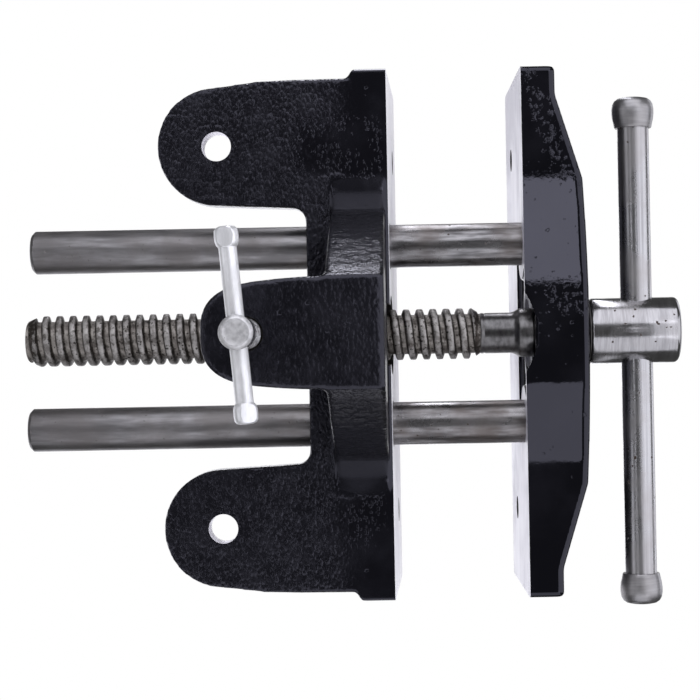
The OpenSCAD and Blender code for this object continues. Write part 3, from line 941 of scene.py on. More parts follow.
class Finishes:
    """Every finish of the vise, made once."""

    def __init__(self) -> None:
        """Builds all the materials."""
        self.rear_paint = RearPaint().make()
        self.front_paint = FrontPaint().make()
        # The same ground iron twice: the rear face painted near-white as if brightly lit, the front face
        # painted darker than it, as in shade.
        self.lit_rear_ground = GroundFinish(
            "lit_rear_ground", dark=(0.9, 0.89, 0.93), light=(0.97, 0.965, 0.99),
        ).make()
        self.shaded_front_ground = GroundFinish(
            "shaded_front_ground", dark=(0.53, 0.52, 0.575), light=(0.665, 0.655, 0.71),
        ).make()
        # Near-white painted light on the bare walls of the ear holes.
        self.drilled = SteelFinish(
            "lit_drilled_wall", dark=(0.78, 0.77, 0.82), light=(0.92, 0.91, 0.96), stain=(0.6, 0.57, 0.56),
            stretch=(300, 300, 1500), roughness=0.35, pit_share=0.03, stain_share=0.25, metal=0.3,
        ).make()
        # Near-black painted shade for the insides of bores and holes.
        self.shadowed = SteelFinish(
            "shaded_bore_wall", dark=(0.05, 0.048, 0.046), light=(0.12, 0.115, 0.11), stain=(0.05, 0.035, 0.025),
            stretch=(900, 60, 900), roughness=0.45, pit_share=0.1, stain_share=0.5,
        ).make()
        self.rod = SteelFinish(
            "rod_steel", dark=(0.08, 0.078, 0.08), light=(0.34, 0.335, 0.338), stain=(0.14, 0.12, 0.108),
            stretch=(800, 110, 800), roughness=0.25, pit_scale=700, pit_share=0.1, stain_share=0.75,
            line_depth=0.06, dull_tail=0.12,
        ).make()
        self.thread = ThreadFinish(
            "screw_thread", centre=(0, 0, AXIS_Z), keep=(1, 0, 1), root=5.8, crest=7.4,
        ).make()
        self.shank = SteelFinish(
            "shank_steel", dark=(0.09, 0.088, 0.088), light=(0.19, 0.187, 0.187), stain=(0.08, 0.07, 0.064),
            stretch=(500, 900, 500), roughness=0.28, pit_scale=480, pit_share=0.06, stain_share=0.45,
        ).make()
        self.head = SteelFinish(
            "head_steel", dark=(0.33, 0.327, 0.335), light=(0.45, 0.447, 0.455), stain=(0.36, 0.34, 0.325),
            stretch=(160, 1500, 160), roughness=0.17, pit_scale=520, pit_share=0.34, stain_share=0.3,
            line_depth=0.012,
        ).make()
        self.handle = SteelFinish(
            "handle_steel", dark=(0.36, 0.36, 0.37), light=(0.54, 0.54, 0.55), stain=(0.34, 0.3, 0.275),
            stretch=(22, 1400, 1400), roughness=0.24, pit_scale=420, pit_share=0.06, stain_share=0.3,
        ).make()
        self.knob = SteelFinish(
            "knob_steel", dark=(0.28, 0.28, 0.29), light=(0.41, 0.41, 0.42), stain=(0.34, 0.31, 0.285),
            stretch=(1500, 150, 150), roughness=0.33, pit_scale=420, pit_share=0.06, stain_share=0.35,
        ).make()
        self.washer = SteelFinish(
            "washer_steel", dark=(0.05, 0.05, 0.05), light=(0.12, 0.115, 0.11), stain=(0.06, 0.045, 0.035),
            stretch=(500, 900, 500), roughness=0.4, pit_share=0.1, stain_share=0.4,
        ).make()
        self.zinc = SteelFinish(
            "zinc_plate", dark=(0.7, 0.705, 0.72), light=(0.86, 0.865, 0.88), stain=(0.58, 0.58, 0.58),
            stretch=(300, 900, 900), roughness=0.32, stain_share=0.45, metal=0.6,
        ).make()
        self.zinc_head = SteelFinish(
            "zinc_head", dark=(0.42, 0.42, 0.43), light=(0.7, 0.7, 0.71), stain=(0.4, 0.395, 0.39),
            stretch=(900, 900, 900), roughness=0.34, pit_scale=1100, pit_share=0.25, stain_share=0.5,
            metal=0.6,
        ).make()
        self.zinc_wall = SteelFinish(
            "zinc_wall", dark=(0.5, 0.5, 0.51), light=(0.72, 0.72, 0.73), stain=(0.42, 0.415, 0.41),
            stretch=(900, 900, 120), roughness=0.2, pit_scale=900, pit_share=0.05, stain_share=0.4,
        ).make()
        # The zinc thread is painted by radius with the same painted light and shade.
        self.zinc_thread = ThreadFinish(
            "zinc_thread", centre=(0, CLAMP_Y, 0), keep=(1, 1, 0), root=3.3, crest=4.0,
            lit_groove=(0.4, 0.4, 0.4), flank=(0.16, 0.16, 0.16), crown=(0.72, 0.72, 0.73),
        ).make()
        self.pin = SteelFinish(
            "pin_steel", dark=(0.3, 0.295, 0.29), light=(0.5, 0.49, 0.48), stain=(0.25, 0.2, 0.17),
            stretch=(700, 700, 700), roughness=0.34, pit_share=0.1, stain_share=0.4,
        ).make()


@dataclass
class Casting:
    """What both jaws have in common: their size, and how they are ground and drilled."""

    finishes: Finishes
    jaw_half: float = 77.5
    jaw_h: float = 62.0
    stock: float = 2.6
    voxel: float = 0.7

    def grind(self, casting: Solid, face_y: float, rise: float, clear: float, finish: Material) -> None:
        """Grinds the jaw face to a slight slope.

        Args:
            casting: The rough casting.
            face_y: Where the face lies at the bottom, in mm.
            rise: How far it moves up to the top, in mm.
            clear: How far the grinder reaches away from it, in mm.
            finish: The ground finish.
        """
        past = 6.0
        over = rise / self.jaw_h * past
        front = [(face_y - over, -past), (face_y + rise + over, self.jaw_h + past)]
        front += [(face_y + clear, self.jaw_h + past), (face_y + clear, -past)]
        grinder = Shop.plate("grinder", Plane.YZ, front, -self.jaw_half - past, self.jaw_half + past)
        Shop.combine(casting, grinder, Cut.REMOVE, finish)

    @staticmethod
    def drill(casting: Solid, profile: Sequence[Flat], start: Point, axis: Point, wall: Material) -> None:
        """Cuts one turned hole.

        Args:
            casting: The casting.
            profile: Points (place along the axis, radius), in mm.
            start: Where the places are counted from, in mm.
            axis: The hole's direction.
            wall: The finish of the hole's wall.
        """
        Shop.combine(casting, Shop.turned("drill", profile, start, axis, 64), Cut.REMOVE, wall)


@dataclass
class RearCasting(Casting):
    """The rear jaw with its ears, web and tongue."""

    back_y: float = -39.6
    face_y: float = -49.6
    lean: float = 2.1
    ear_x: float = 55.6
    ear_r: float = 17.2
    ear_t: float = 8.5
    ear_hole_r: float = 4.25
    flange_y: float = -25.6
    boss_r: float = 10.5
    notch_r: float = 3.8
    web_front: float = -48.5
    web_back: float = -33.1
    column_half: float = 14.65
    tongue_top: float = -47.0
    tongue_base: float = -60.0

    def ears(self) -> Solid:
        """The ears and the flange between them, as one plate.

        Returns:
            The plate.
        """
        inner = self.ear_x - self.ear_r - 1.1
        half = arc((inner - self.notch_r, self.flange_y + self.notch_r), self.notch_r, -90, 0, 8)
        half += arc((self.ear_x, 0), self.ear_r, 180, 0, 32)
        half += [
            (74.35, -12.0), (74.75, -22.0), (74.9, self.back_y + 1.3), (self.jaw_half - 0.5, self.back_y),
            (self.jaw_half - 0.5, self.back_y - 2)
        ]
        return Shop.plate("ears", Plane.XY, half + mirrored(half), 0, self.ear_t)

    def guide_block(self) -> list[Solid]:
        """The bosses about the rods and the nut, behind the jaw plate.

        Returns:
            The solids.
        """
        depth = self.flange_y - self.back_y + 1
        parts = []
        for x in (-ROD_X, ROD_X):
            parts.append(Shop.rod("rod_boss", (x, self.back_y - 1, AXIS_Z), ALONG_Y, depth, self.boss_r))
        crown = arc((0, AXIS_Z), 15.4, 0, 180, 32)
        reach = ROD_X + self.boss_r
        outline = [(reach, 0), (reach, AXIS_Z)] + crown + [(-reach, AXIS_Z), (-reach, 0)]
        parts.append(Shop.plate("nut_boss", Plane.XZ, outline, self.back_y - 1, self.flange_y))
        return parts

    def web(self) -> list[Solid]:
        """The web with its shallow foot and steep flanks, and the column that turns into the tongue.

        Returns:
            The solids.
        """
        inside, knee, base = (52.0, 0.5), (35.9, -1.5), (self.column_half, self.tongue_base)
        flank = [inside, knee, (26.0, -33.0), base]
        fan = Shop.plate("web", Plane.XZ, flank + mirrored(flank), self.web_front, self.web_back)
        edge = 1.2
        low, heel = self.tongue_base, self.web_front
        bend = (heel + edge, low + edge)
        nose = [(heel - 1, low - 1), (heel + edge, low - 1)]
        nose += arc(bend, edge, 270, 180, 8) + [(heel - 1, low + edge)]
        Shop.combine(fan, Shop.plate("corner", Plane.YZ, nose, -30, 30), Cut.REMOVE)
        hollow = 8.0
        hook = [(self.web_back, 2.0), (heel, 2.0)]
        hook += arc(bend, edge, 180, 270, 8)
        hook += [
            (self.web_back + 2, low), (self.web_back + 2, self.tongue_top - 1),
            (self.web_back + hollow, self.tongue_top - 1)
        ]
        hook += arc((self.web_back + hollow, self.tongue_top + hollow), hollow, 270, 180, 10)
        column = Shop.plate("column", Plane.YZ, hook, -self.column_half, self.column_half)
        rim = [
            (self.column_half, -34.0), (14.5, -27.0), (14.1, -21.0), (13.5, -14.8), (12.75, -10.5),
            (11.6, -7.2)
        ]
        rim += [(10.3, -5.0), (8.9, -3.4), (7.2, -2.2), (5.0, -1.35), (2.5, -0.95)]
        end = Shop.plate("tongue", Plane.XY, rim + mirrored(rim), low, self.tongue_top)
        return [fan, column, end]

    def gussets(self) -> list[Solid]:
        """The triangular gusset on each ear.

        Returns:
            The solids.
        """
        side = [
            (self.back_y - 1, 6.0), (self.back_y + 24, 6.0), (self.back_y + 24, self.ear_t),
            (self.back_y, 35.0), (self.back_y - 1, 35.0)
        ]
        return [Shop.plate("gusset", Plane.YZ, side, x - 4, x + 4) for x in (-self.ear_x, self.ear_x)]

    def build(self) -> None:
        """Casts and machines the rear jaw."""
        top = self.face_y - self.lean
        slab = [
            (self.face_y - self.stock, 0), (self.back_y, 0), (self.back_y, self.jaw_h),
            (top - self.stock, self.jaw_h)
        ]
        plate = Shop.plate("jaw_plate", Plane.YZ, slab, -self.jaw_half, self.jaw_half)
        rough = [plate, self.ears(), *self.guide_block(), *self.web(), *self.gussets()]
        casting = Shop.fuse("rear_casting", rough)
        Shop.cast(casting, self.voxel, 4)
        Shop.paint(casting, self.finishes.rear_paint)
        self.machine(casting)
        Shop.smooth(casting, 40)
        Shop.seat(casting, "rear", "casting_paint", "rear_jaw")

    def machine(self, casting: Solid) -> None:
        """Grinds the jaw face and drills every hole.

        Args:
            casting: The rough casting.
        """
        self.grind(casting, self.face_y, -self.lean, -30.0, self.finishes.lit_rear_ground)
        bright, shade_wall = self.finishes.drilled, self.finishes.shadowed
        for side in (-1, 1):
            hole = self.ear_hole_r
            ear = [(-1, 0), (-1, hole + 0.5), (0.1, hole), (8.2, hole), (9.5, hole + 1.25), (9.5, 0)]
            # The ear holes' walls take the pale painted light.
            self.drill(casting, ear, (side * self.ear_x, 0, 0), UP, bright)
            # The rod bores, liner holes, nut bore, mouth and clamp hole take the dark painted shade.
            bore = [(-1, 0), (-1, 7.7), (0.6, 6.41), (40, 6.41), (40, 0)]
            self.drill(casting, bore, (side * ROD_X, -50.0, AXIS_Z), ALONG_Y, shade_wall)
            liner = [(-1, 0), (-1, 4.6), (0.3, 3.5), (20, 3.5), (20, 0)]
            self.drill(casting, liner, (side * LINER_X, -51.0, LINER_Z), ALONG_Y, shade_wall)
        nut = [(-15, 0), (-15, 11.7), (-0.1, 11.7), (0, 9.92), (20, 9.92), (20, 0)]
        self.drill(casting, nut, (0, -39.5, AXIS_Z), ALONG_Y, shade_wall)
        # The recess breaks out through the lower lip of the jaw face
        mouth = Shop.plate(
            "mouth", Plane.XZ, [(-9.5, -3), (9.5, -3), (7.5, AXIS_Z), (-7.5, AXIS_Z)], self.face_y - 4,
            self.web_front - 0.15
        )
        Shop.combine(casting, mouth, Cut.REMOVE, shade_wall)
        clamp = [(-1, 0), (-1, 5.6), (0.4, 4.12), (12.6, 4.12), (14, 5.6), (14, 0)]
        self.drill(casting, clamp, (0, CLAMP_Y, self.tongue_base), UP, shade_wall)


@dataclass
class FrontCasting(Casting):
    """The front jaw."""

    face_y: float = -88.9
    toe: float = 0.8
    end_t: float = 10.0
    mid_t: float = 18.9
    bow: float = 1.3
    mid_half: float = 44.6
    end_half: float = 69.2
    taper: float = 4.0
    edge: float = 1.2

    def plan(self) -> list[Flat]:
        """The outline from above, with stock on the face for grinding.

        Returns:
            The outline's points, in mm.
        """
        back = self.face_y - self.mid_t
        radius = (self.mid_half**2 + self.bow**2) / (2 * self.bow)
        swing = math.degrees(math.asin(self.mid_half / radius))
        half = arc((0, back + radius), radius, 270, 270 + swing, 12)
        half += [(self.end_half, self.face_y - self.end_t), (self.jaw_half, self.face_y - self.end_t)]
        half += [(self.jaw_half, self.face_y + self.toe + self.stock)]
        return half + mirrored(half)[:-1]

    def build(self) -> None:
        """Casts and machines the front jaw."""
        casting = Shop.plate("front_casting", Plane.XY, self.plan(), 0, self.jaw_h)
        Shop.apply(
            casting, "BEVEL", width=self.edge * MM, segments=5, limit_method="ANGLE",
            angle_limit=math.radians(60)
        )
        back = self.face_y - self.mid_t
        side = [
            (self.face_y + 6, -1), (self.face_y + 6, self.jaw_h + 1), (back + self.taper, self.jaw_h + 1),
            (back - 0.5, 31), (back - 0.5, -1)
        ]
        Shop.combine(casting, Shop.plate("side", Plane.YZ, side, -90, 90), Cut.KEEP)
        self.hollow(casting)
        Shop.cast(casting, self.voxel, 8)
        Shop.paint(casting, self.finishes.front_paint)
        self.machine(casting)
        Shop.smooth(casting, 40)
        Shop.seat(casting, "front", "casting_paint", "front_jaw")

    def hollow(self, casting: Solid) -> None:
        """Moulds the relief between the rod bosses and the dished collar pocket.

        Args:
            casting: The rough casting.
        """
        axis_y = self.face_y + self.toe * AXIS_Z / self.jaw_h
        lip = 1.6
        boss = [spot for spot in arc((ROD_X, AXIS_Z), 10.6, 268, 90, 32) if spot[1] > lip]
        half = [(boss[0][0], lip)] + boss + [(ROD_X, 27.0)]
        relief = Shop.plate("relief", Plane.XZ, half + mirrored(half), axis_y - 1.3, self.face_y + 6)
        Shop.combine(casting, relief, Cut.REMOVE)
        dish = [(0, 0), (0, 11.8), (8, 11.8 + 8 * 1.2), (8, 0)]
        Shop.combine(casting, Shop.turned("dish", dish, (0, axis_y - 3.1, AXIS_Z), ALONG_Y), Cut.REMOVE)

    def machine(self, casting: Solid) -> None:
        """Grinds the jaw face and drills every hole.

        Args:
            casting: The rough casting.
        """
        self.grind(casting, self.face_y, self.toe, 30.0, self.finishes.shaded_front_ground)
        # The bores take the dark painted shade.
        shade_wall = self.finishes.shadowed
        for side in (-1, 1):
            depth = 14 + (LEFT_DEEPER if side < 0 else 0)
            bore = [(-depth, 0), (-depth, 6.37), (8, 6.37), (8, 0)]
            self.drill(casting, bore, (side * ROD_X, self.face_y + 0.14, AXIS_Z), ALONG_Y, shade_wall)
            liner = [(-30, 0), (-30, 3.5), (0.2, 3.5), (1.4, 4.6), (1.4, 0)]
            self.drill(casting, liner, (side * LINER_X, -88.5, LINER_Z), ALONG_Y, shade_wall)
        shaft = [(-30, 0), (-30, 6.06), (8, 6.06), (8, 0)]
        self.drill(casting, shaft, (0, self.face_y, AXIS_Z), ALONG_Y, shade_wall)


@dataclass
class ScrewWorks:
    """The lead screw with its head, washer and collar, and the guide rods."""

    finishes: Finishes
    pitch: float = 3.95
    phase: float = 0.6
    root: float = 5.8
    crest: float = 7.5
    thread_low: float = -76.06
    thread_high: float = 57.74
    shank_r: float = 6.0
    shank_end: float = -116.55
    collar_y: float = -91.7
    head_y: float = -108.55
    head_len: float = 26.3
    head_r: float = 9.7
    handle_hole_r: float = 4.71
    pin_hole_r: float = 1.52
    rod_low: float = -102.7
    rod_len: float = 160.3

    def ridge(self) -> list[Point]:
        """One pitch of the thread's profile, drawn above the axis.

        Returns:
            The profile's points, in mm.
        """
        places = [(0.0, 0.0), (0.09, 0.12), (0.52, 1.4), (0.64, 1.6), (0.85, 1.69), (1.42, 1.7)]
        places += [(1.99, 1.69), (2.2, 1.6), (2.32, 1.4), (2.75, 0.12), (2.84, 0.0), (self.pitch, 0.0)]
        start = self.phase + self.pitch * (math.floor(self.thread_low / self.pitch) - 2)
        return [(0, start + y, self.root + rise) for y, rise in places]

    def screw(self) -> None:
        """The lead screw: a wound thread, trimmed by its blank, on a plain shank."""
        length, top = self.thread_high - self.thread_low, self.crest + 0.1
        turns = math.ceil(length / self.pitch) + 5
        ends = (self.thread_low - 1.5, self.thread_high + 1.5)
        thread = Shop.wound("lead_screw_bar", self.ridge(), "Y", self.pitch, turns, 48, ends, (0, 0, AXIS_Z))
        blank = [
            (0, 0), (0, 5.9), (2.6, top), (length - 3.8, top), (length - 0.4, 6.1), (length, 5.7), (length, 0)
        ]
        Shop.combine(thread, Shop.turned("blank", blank, (0, self.thread_low, AXIS_Z), ALONG_Y), Cut.KEEP)
        Shop.paint(thread, self.finishes.thread)
        neck = [
            (0, 0), (0, 5.2), (0.8, self.shank_r), (38.8, self.shank_r), (39.1, 5.86), (39.35, 5.86),
            (39.6, self.shank_r), (40.3, self.shank_r), (40.55, 5.75), (41.9, 5.0), (41.9, 0)
        ]
        shank = Shop.turned("shank", neck, (0, self.shank_end, AXIS_Z), ALONG_Y)
        Shop.combine(thread, shank, Cut.JOIN, self.finishes.shank)
        Shop.smooth(thread, 40)
        Shop.seat(thread, "screw", "screw_steel", "lead_screw")

    def head(self) -> None:
        """The round head with the handle's cross hole."""
        length, radius = self.head_len, self.head_r
        profile = [(0, 0), (0, radius - 0.7), (0.2, radius - 0.25), (0.7, radius)]
        profile += [
            (length - 1.4, radius), (length - 0.9, radius - 0.15), (length - 0.4, radius - 0.55),
            (length - 0.12, radius - 1.1), (length, radius - 2.2), (length, 0)
        ]
        head = Shop.turned("screw_head_turned", profile, (0, self.head_y, AXIS_Z), (0, -1, 0), 128)
        Shop.paint(head, self.finishes.head)
        holes = (
            ((0, self.shank_end, AXIS_Z), ALONG_Y, 20.0, self.shank_r + 0.03, 96),
            ((-20, HANDLE_Y, AXIS_Z), ALONG_X, 40.0, self.handle_hole_r, 96),
            ((-20, self.head_y - 4, AXIS_Z), ALONG_X, 40.0, self.pin_hole_r, 48),
        )
        for hole in holes:
            Shop.combine(head, Shop.rod("hole", *hole), Cut.REMOVE, self.finishes.shadowed)
        Shop.smooth(head, 30)
        Shop.seat(head, "screw", "head_steel", "screw_head")

    def rings(self) -> None:
        """The thrust washer and the flared collar."""
        washer = [
            (0.1, 6.07), (0.02, 6.2), (0.02, 9.1), (0.15, 9.28), (0.42, 9.28), (0.56, 9.1), (0.56, 6.2),
            (0.5, 6.07)
        ]
        disc = Shop.turned("thrust_disc", washer, (0, self.head_y, AXIS_Z), ALONG_Y, 96, ring=True)
        Shop.finish(disc, self.finishes.washer)
        Shop.seat(disc, "screw", "washer_steel", "thrust_washer")
        flare = [
            (0.2, 6.02), (0, 6.3), (0, 7.0), (0.25, 7.2), (3.6, 7.2), (4.2, 7.05), (4.7, 6.75), (5.3, 6.35),
            (6.0, 6.1), (6.3, 6.05), (6.3, 6.02)
        ]
        collar = Shop.turned("collar_flare", flare, (0, self.collar_y, AXIS_Z), ALONG_Y, 96, ring=True)
        Shop.finish(collar, self.finishes.shank)
        Shop.seat(collar, "screw", "screw_steel", "screw_collar")

    def rods(self) -> None:
        """The two guide rods, with chamfered ends and a centre mark."""
        length = self.rod_len
        profile = [
            (0, 0), (0, 5.6), (0.7, 6.35), (length - 1.1, 6.35), (length - 0.95, 6.3), (length - 0.1, 5.45),
            (length, 5.3), (length, 1.3), (length - 0.8, 0.0)
        ]
        right = Shop.turned("rod_right_ground", profile, (ROD_X, self.rod_low, AXIS_Z), ALONG_Y)
        Shop.finish(right, self.finishes.rod)
        move = Matrix.Translation(Vector((-2 * ROD_X, -LEFT_DEEPER, 0)) * MM)
        left = Shop.copy(right, "rod_left_ground", move)
        Shop.seat(right, "front", "rod_steel", "guide_rod_right")
        Shop.seat(left, "front", "rod_steel", "guide_rod_left")


@dataclass
class Handle:
    """The sliding handle bar and its two knobs."""

    finishes: Finishes
    shift: float = 6.0
    length: float = 150.0
    radius: float = 4.65
    knob_len: float = 9.0

    def build(self) -> None:
        """Turns the bar and both knobs."""
        half = self.length / 2
        reach = half - self.knob_len + 6.4
        profile = [(-reach, 0), (-reach, self.radius), (reach, self.radius), (reach, 0)]
        bar = Shop.turned("handle_rod", profile, (self.shift, HANDLE_Y, AXIS_Z), ALONG_X)
        Shop.finish(bar, self.finishes.handle)
        Shop.seat(bar, "handle", "handle_steel", "handle_bar")
        shell = [
            (9.0, 4.66), (2.5, 4.66), (2.5, 0), (0, 0), (0.05, 3.2), (0.35, 4.5), (1.0, 5.4), (2.0, 5.95),
            (3.4, 6.2), (4.8, 6.2), (6.4, 6.0), (7.9, 5.65), (8.7, 5.5), (9.0, 5.35), (9.0, 4.66)
        ]
        right = Shop.turned("knob_right_barrel", shell, (self.shift + half, HANDLE_Y, AXIS_Z), (-1, 0, 0))
        Shop.finish(right, self.finishes.knob)
        middle = Matrix.Translation(Vector((self.shift, HANDLE_Y, AXIS_Z)) * MM)
        left = Shop.copy(
            right, "knob_left_barrel", middle @ Matrix.Rotation(math.pi, 4, "Z") @ middle.inverted()
        )
        Shop.seat(right, "handle", "handle_steel", "handle_knob_right")
        Shop.seat(left, "handle", "handle_steel", "handle_knob_left")


@dataclass
class BenchClamp:
    """The clamp screw in the tongue, with its T-bar and pad."""

    finishes: Finishes
    pitch: float = 1.25
    root: float = 3.3
    head_top: float = -79.15
    head_len: float = 9.0
    shoulder: float = -39.15
    tip_len: float = 5.05
    pad_z: float = -39.0
    bar_turn: float = -5.2
    bar_shift: float = -1.8
    bar_len: float = 48.6
    bar_r: float = 2.25
    bar_hole_r: float = 2.31
    flat_out: float = 2.32
    flat_turn: float = 4.0
    lower_turn: float = -20.0

    def build(self) -> None:
        """Makes the screw, the bar and the pad."""
        self.screw()
        self.bar()
        self.pad()

    def screw(self) -> None:
        """The clamp screw: a round head with a cross hole, and a wound thread."""
        low = self.head_top - 2 * self.pitch
        places = [(0.0, 0.0), (0.1, 0.02), (0.47, 0.66), (0.58, 0.7), (0.68, 0.66), (1.05, 0.02), (1.25, 0.0)]
        ridge = [(self.root + rise, 0, low + z) for z, rise in places]
        turns = math.ceil((self.shoulder - low) / self.pitch) + 2
        ends = (self.head_top - 1.0, self.shoulder + 1.0)
        thread = Shop.wound("clamp_screw_zinc", ridge, "Z", self.pitch, turns, 32, ends, (0, CLAMP_Y, 0))
        length = self.shoulder - self.head_top
        blank = [(-0.5, 0), (-0.5, 4.2), (length - 0.9, 4.2), (length, 3.2), (length, 0)]
        Shop.combine(thread, Shop.turned("blank", blank, (0, CLAMP_Y, self.head_top), UP), Cut.KEEP)
        Shop.paint(thread, self.finishes.zinc_thread)
        total = self.head_len
        knob = [
            (0.2, 0), (0.12, 0.9), (0.2, 1.6), (0.15, 2.8), (0.03, 3.15), (0.0, 3.3), (0.08, 3.5),
            (0.55, 4.1), (1.0, 4.3), (1.2, 4.3), (1.2, 0)
        ]
        wall = [(1.1, 0), (1.1, 4.28), (total - 0.5, 4.28), (total, 3.8), (total, 0)]
        for name, profile, finish in (
            ("head", knob, self.finishes.zinc_head), ("wall", wall, self.finishes.zinc_wall)
        ):
            head = Shop.turned(name, profile, (0, CLAMP_Y, self.head_top - total), UP)
            Shop.combine(thread, head, Cut.JOIN, finish)
        tip = Shop.rod("tip", (0, CLAMP_Y, self.shoulder - 1.5), UP, self.tip_len, 2.6, 48)
        Shop.combine(thread, tip, Cut.JOIN, self.finishes.zinc)
        start = Vector((0, CLAMP_Y, self.head_top - total / 2)) - self.way() * 12
        hole = Shop.rod("hole", tuple(start), tuple(self.way()), 24, self.bar_hole_r, 48)
        Shop.combine(thread, hole, Cut.REMOVE, self.finishes.shadowed)
        Shop.smooth(thread)
        Shop.seat(thread, "clamp", "zinc_steel", "clamp_screw")

    def way(self) -> Vector:
        """The direction of the T-bar."""
        turn = math.radians(self.bar_turn)
        return Vector((math.cos(turn), math.sin(turn), 0))

    def bar(self) -> None:
        """The T-bar, with hammered ends that have flats on two sides."""
        half = self.bar_len / 2
        way = self.way()
        centre = Vector((0, CLAMP_Y, self.head_top - self.head_len / 2)) + way * self.bar_shift
        bar = Shop.rod(
            "clamp_bar_zinc", tuple(centre - way * (half - 2)), tuple(way), 2 * half - 4, self.bar_r
        )
        Shop.paint(bar, self.finishes.zinc)
        shape = [
            (0, 0), (0.08, 1.7), (0.4, 2.45), (1.0, 2.9), (2.3, 3.05), (3.8, 2.98), (4.7, 2.7), (5.3, 2.2),
            (5.4, 0)
        ]
        upper = Shop.turned("upset", shape, tuple(centre - way * half), tuple(way), 60)
        face = Matrix.Rotation(math.radians(self.flat_turn), 3, way) @ Vector(UP)
        for sign in (-1, 1):
            Shop.trim(upper, centre + face * (sign * self.flat_out), face * sign)
        Shop.apply(
            upper, "BEVEL", width=0.18 * MM, segments=2, limit_method="ANGLE", angle_limit=math.radians(30)
        )
        Shop.paint(upper, self.finishes.zinc)
        middle = Matrix.Translation(centre * MM)
        turn = Matrix.Rotation(math.radians(self.lower_turn), 4, way) @ Matrix.Rotation(math.pi, 4, "Z")
        lower = Shop.copy(upper, "upset_lower", middle @ turn @ middle.inverted())
        Shop.combine(bar, upper, Cut.JOIN)
        Shop.combine(bar, lower, Cut.JOIN)
        Shop.smooth(bar)
        Shop.seat(bar, "clamp_tee", "zinc_steel", "clamp_bar")

    def pad(self) -> None:
        """The swivel pad under the bench top."""
        cup = [
            (0, 2.66), (0, 7.6), (0.5, 8.3), (1.2, 8.5), (4.0, 8.5), (4.6, 8.3), (5.0, 7.7), (5.0, 0),
            (3.7, 0), (3.7, 2.66), (0, 2.66)
        ]
        pad = Shop.turned("clamp_pad_disc", cup, (0, CLAMP_Y, self.pad_z), UP)
        Shop.finish(pad, self.finishes.zinc)
        Shop.seat(pad, "pad", "zinc_steel", "clamp_pad")


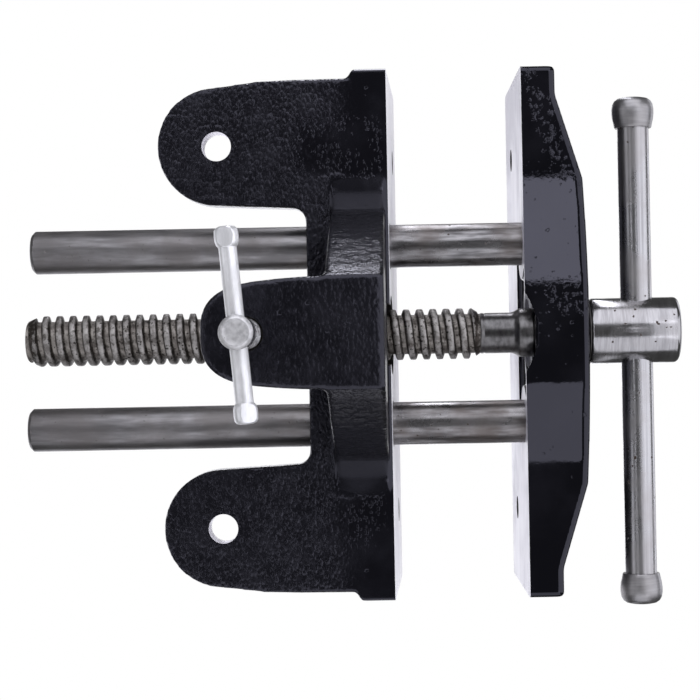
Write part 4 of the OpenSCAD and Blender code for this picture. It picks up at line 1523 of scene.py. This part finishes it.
class Studio:
    """The camera, the lights, the white surround and the floor."""

    focal_px = 1761.0
    frame_px = 700.0
    principal = (400.0, 359.3)
    eye = (7.27, -52.25, -512.0)
    roll = 1.1
    # Clear of the handle and of the clamp at the ends of their travel
    floor_z = -120.5
    floor_grey = (0.62, 0.62, 0.62, 1)
    floor_glow = 0.33
    lamp_colour = (0.92, 0.92, 1.0)
    white = (1, 1, 1, 1)

    def camera(self) -> None:
        """Sets the camera straight below the vise, as in the photograph."""
        data = bpy.data.cameras.new("photo_camera")
        data.sensor_width = 36.0
        data.lens = self.focal_px / self.frame_px * data.sensor_width
        data.shift_x = (self.frame_px / 2 - self.principal[0]) / self.frame_px
        data.shift_y = (self.principal[1] - self.frame_px / 2) / self.frame_px
        camera = bpy.data.objects.new("photo_camera", data)
        bpy.context.scene.collection.objects.link(camera)
        roll = math.radians(self.roll)
        right = Vector((math.sin(roll), -math.cos(roll), 0))
        up = Vector((-math.cos(roll), -math.sin(roll), 0))
        turn = Matrix((right, up, right.cross(up))).transposed().to_4x4()
        camera.matrix_world = Matrix.Translation(Vector(self.eye) * MM) @ turn
        data.clip_start = 0.01
        data.clip_end = 20.0
        bpy.context.scene.camera = camera

    @staticmethod
    def softbox(name: str, place: Point, target: Point, size: Flat, radiance: float) -> None:
        """Adds a rectangular light.

        Args:
            name: The light's name.
            place: Its centre, in mm.
            target: The point that it faces, in mm.
            size: Its width and height, in mm.
            radiance: How bright its face is, where 1 is white.
        """
        data = bpy.data.lights.new(name, "AREA")
        data.shape = "RECTANGLE"
        data.size, data.size_y = size[0] * MM, size[1] * MM
        data.energy = radiance * math.pi * data.size * data.size_y
        data.color = Studio.lamp_colour
        lamp = bpy.data.objects.new(name, data)
        bpy.context.scene.collection.objects.link(lamp)
        lamp.location = Vector(place) * MM
        lamp.rotation_euler = (Vector(target) - Vector(place)).to_track_quat("-Z", "Y").to_euler()

    def lights(self) -> None:
        """Hangs the softboxes: below for the photograph's view, above for the rest."""
        self.softbox("jaw_light_left", (-72.5, -150, -600), (-72.5, -150, 0), (66, 58), 2.75)
        self.softbox("jaw_light_right", (49, -150, -600), (49, -150, 0), (50, 58), 1.55)
        self.softbox("front_light", (0, -680, -430), (0, -60, 0), (900, 1200), 1.35)
        self.softbox("line_light", (0, 345, -720), (0, -60, 0), (900, 50), 2.0)
        self.softbox("back_light", (0, 720, -420), (0, -40, 0), (900, 420), 0.8)
        self.softbox("left_light", (-680, -60, -510), (0, -40, 0), (1100, 930), 1.6)
        self.softbox("right_light", (670, -60, -525), (0, -40, 0), (1100, 920), 1.1)
        self.softbox("flank_light", (-860, -20, 400), (-25, -38, -30), (130, 760), 6.6)
        self.softbox("shade_light", (860, -20, 440), (25, -38, -30), (130, 620), 0.8)
        self.softbox("top_light", (200, 250, 900), (0, -30, 0), (900, 900), 1.1)
        self.softbox("upper_front_light", (-150, -800, 620), (0, -60, 20), (1000, 500), 1.3)
        self.softbox("upper_back_light", (150, 800, 620), (0, 0, 20), (1000, 500), 1.0)

    def surround(self) -> None:
        """Makes the world white to the camera, a backdrop in a dim room to metal, and grey to the rest."""
        world = bpy.data.worlds.new("studio")
        bpy.context.scene.world = world
        world.use_nodes = True
        graph = Graph(world.node_tree)
        path = graph.add("ShaderNodeLightPath")
        seen = graph.math("MAXIMUM", path["Is Camera Ray"], path["Is Transmission Ray"])
        height = graph.add("ShaderNodeSeparateXYZ", {0: graph.add("ShaderNodeTexCoord")["Generated"]})["Z"]
        # Metal sees the white backdrop behind the vise, and a dim room elsewhere
        mirror = graph.ramp(height, 0.9, 0.98, 0.08, 1.0) * path["Is Glossy Ray"]
        soft = 0.5 * (1.0 - path["Is Glossy Ray"])
        level = graph.math("MAXIMUM", mirror + soft, seen)
        shade = graph.add("ShaderNodeBackground", {"Color": self.white, "Strength": level})
        graph.add("ShaderNodeOutputWorld", {"Surface": shade[0]})

    def floor(self) -> None:
        """Lays a pale floor that is seen from above only, so the camera below looks through it."""
        bpy.ops.object.select_all(action="DESELECT")
        bpy.ops.mesh.primitive_grid_add(
            x_subdivisions=4, y_subdivisions=4, size=6.0, location=(0, 0, self.floor_z * MM)
        )
        floor = bpy.context.object
        floor.name = "studio_floor"
        bpy.ops.object.transform_apply(location=True)
        material, graph = surface("floor_white")
        path = graph.add("ShaderNodeLightPath")
        front = 1.0 - graph.add("ShaderNodeNewGeometry")["Backfacing"]
        seen = path["Is Camera Ray"] * front
        clear = graph.add("ShaderNodeBsdfTransparent")
        matt = graph.add("ShaderNodeBsdfDiffuse", {"Color": self.floor_grey})
        glow = graph.add("ShaderNodeEmission", {"Color": self.white, "Strength": self.floor_glow})
        pale = graph.add("ShaderNodeAddShader", {0: matt[0], 1: glow[0]})
        mix = graph.add("ShaderNodeMixShader", {0: seen, 1: clear[0], 2: pale[0]})
        graph.add("ShaderNodeOutputMaterial", {"Surface": mix[0]})
        Shop.paint(floor, material)

    def build(self) -> None:
        """Sets up everything around the object."""
        self.camera()
        self.lights()
        self.surround()
        self.floor()
        bpy.context.scene.view_settings.view_transform = "Standard"


def dress_hidden(finishes: Finishes) -> None:
    """Gives the CAD pieces that stay inside the vise their finish.

    Args:
        finishes: The finishes.
    """
    for node in ("screw_nut", "nut_pin", "head_pin", "collar_pin"):
        Shop.paint(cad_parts[node], finishes.pin)
        LOG.info("%s: CAD node with its own finish", node)


def main() -> None:
    """Builds the studio and every piece of the vise."""
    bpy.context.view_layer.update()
    Studio().build()
    finishes = Finishes()
    RearCasting(finishes).build()
    FrontCasting(finishes).build()
    works = ScrewWorks(finishes)
    works.screw()
    works.head()
    works.rings()
    works.rods()
    Handle(finishes).build()
    BenchClamp(finishes).build()
    dress_hidden(finishes)


if __name__ == "__main__":
    main()
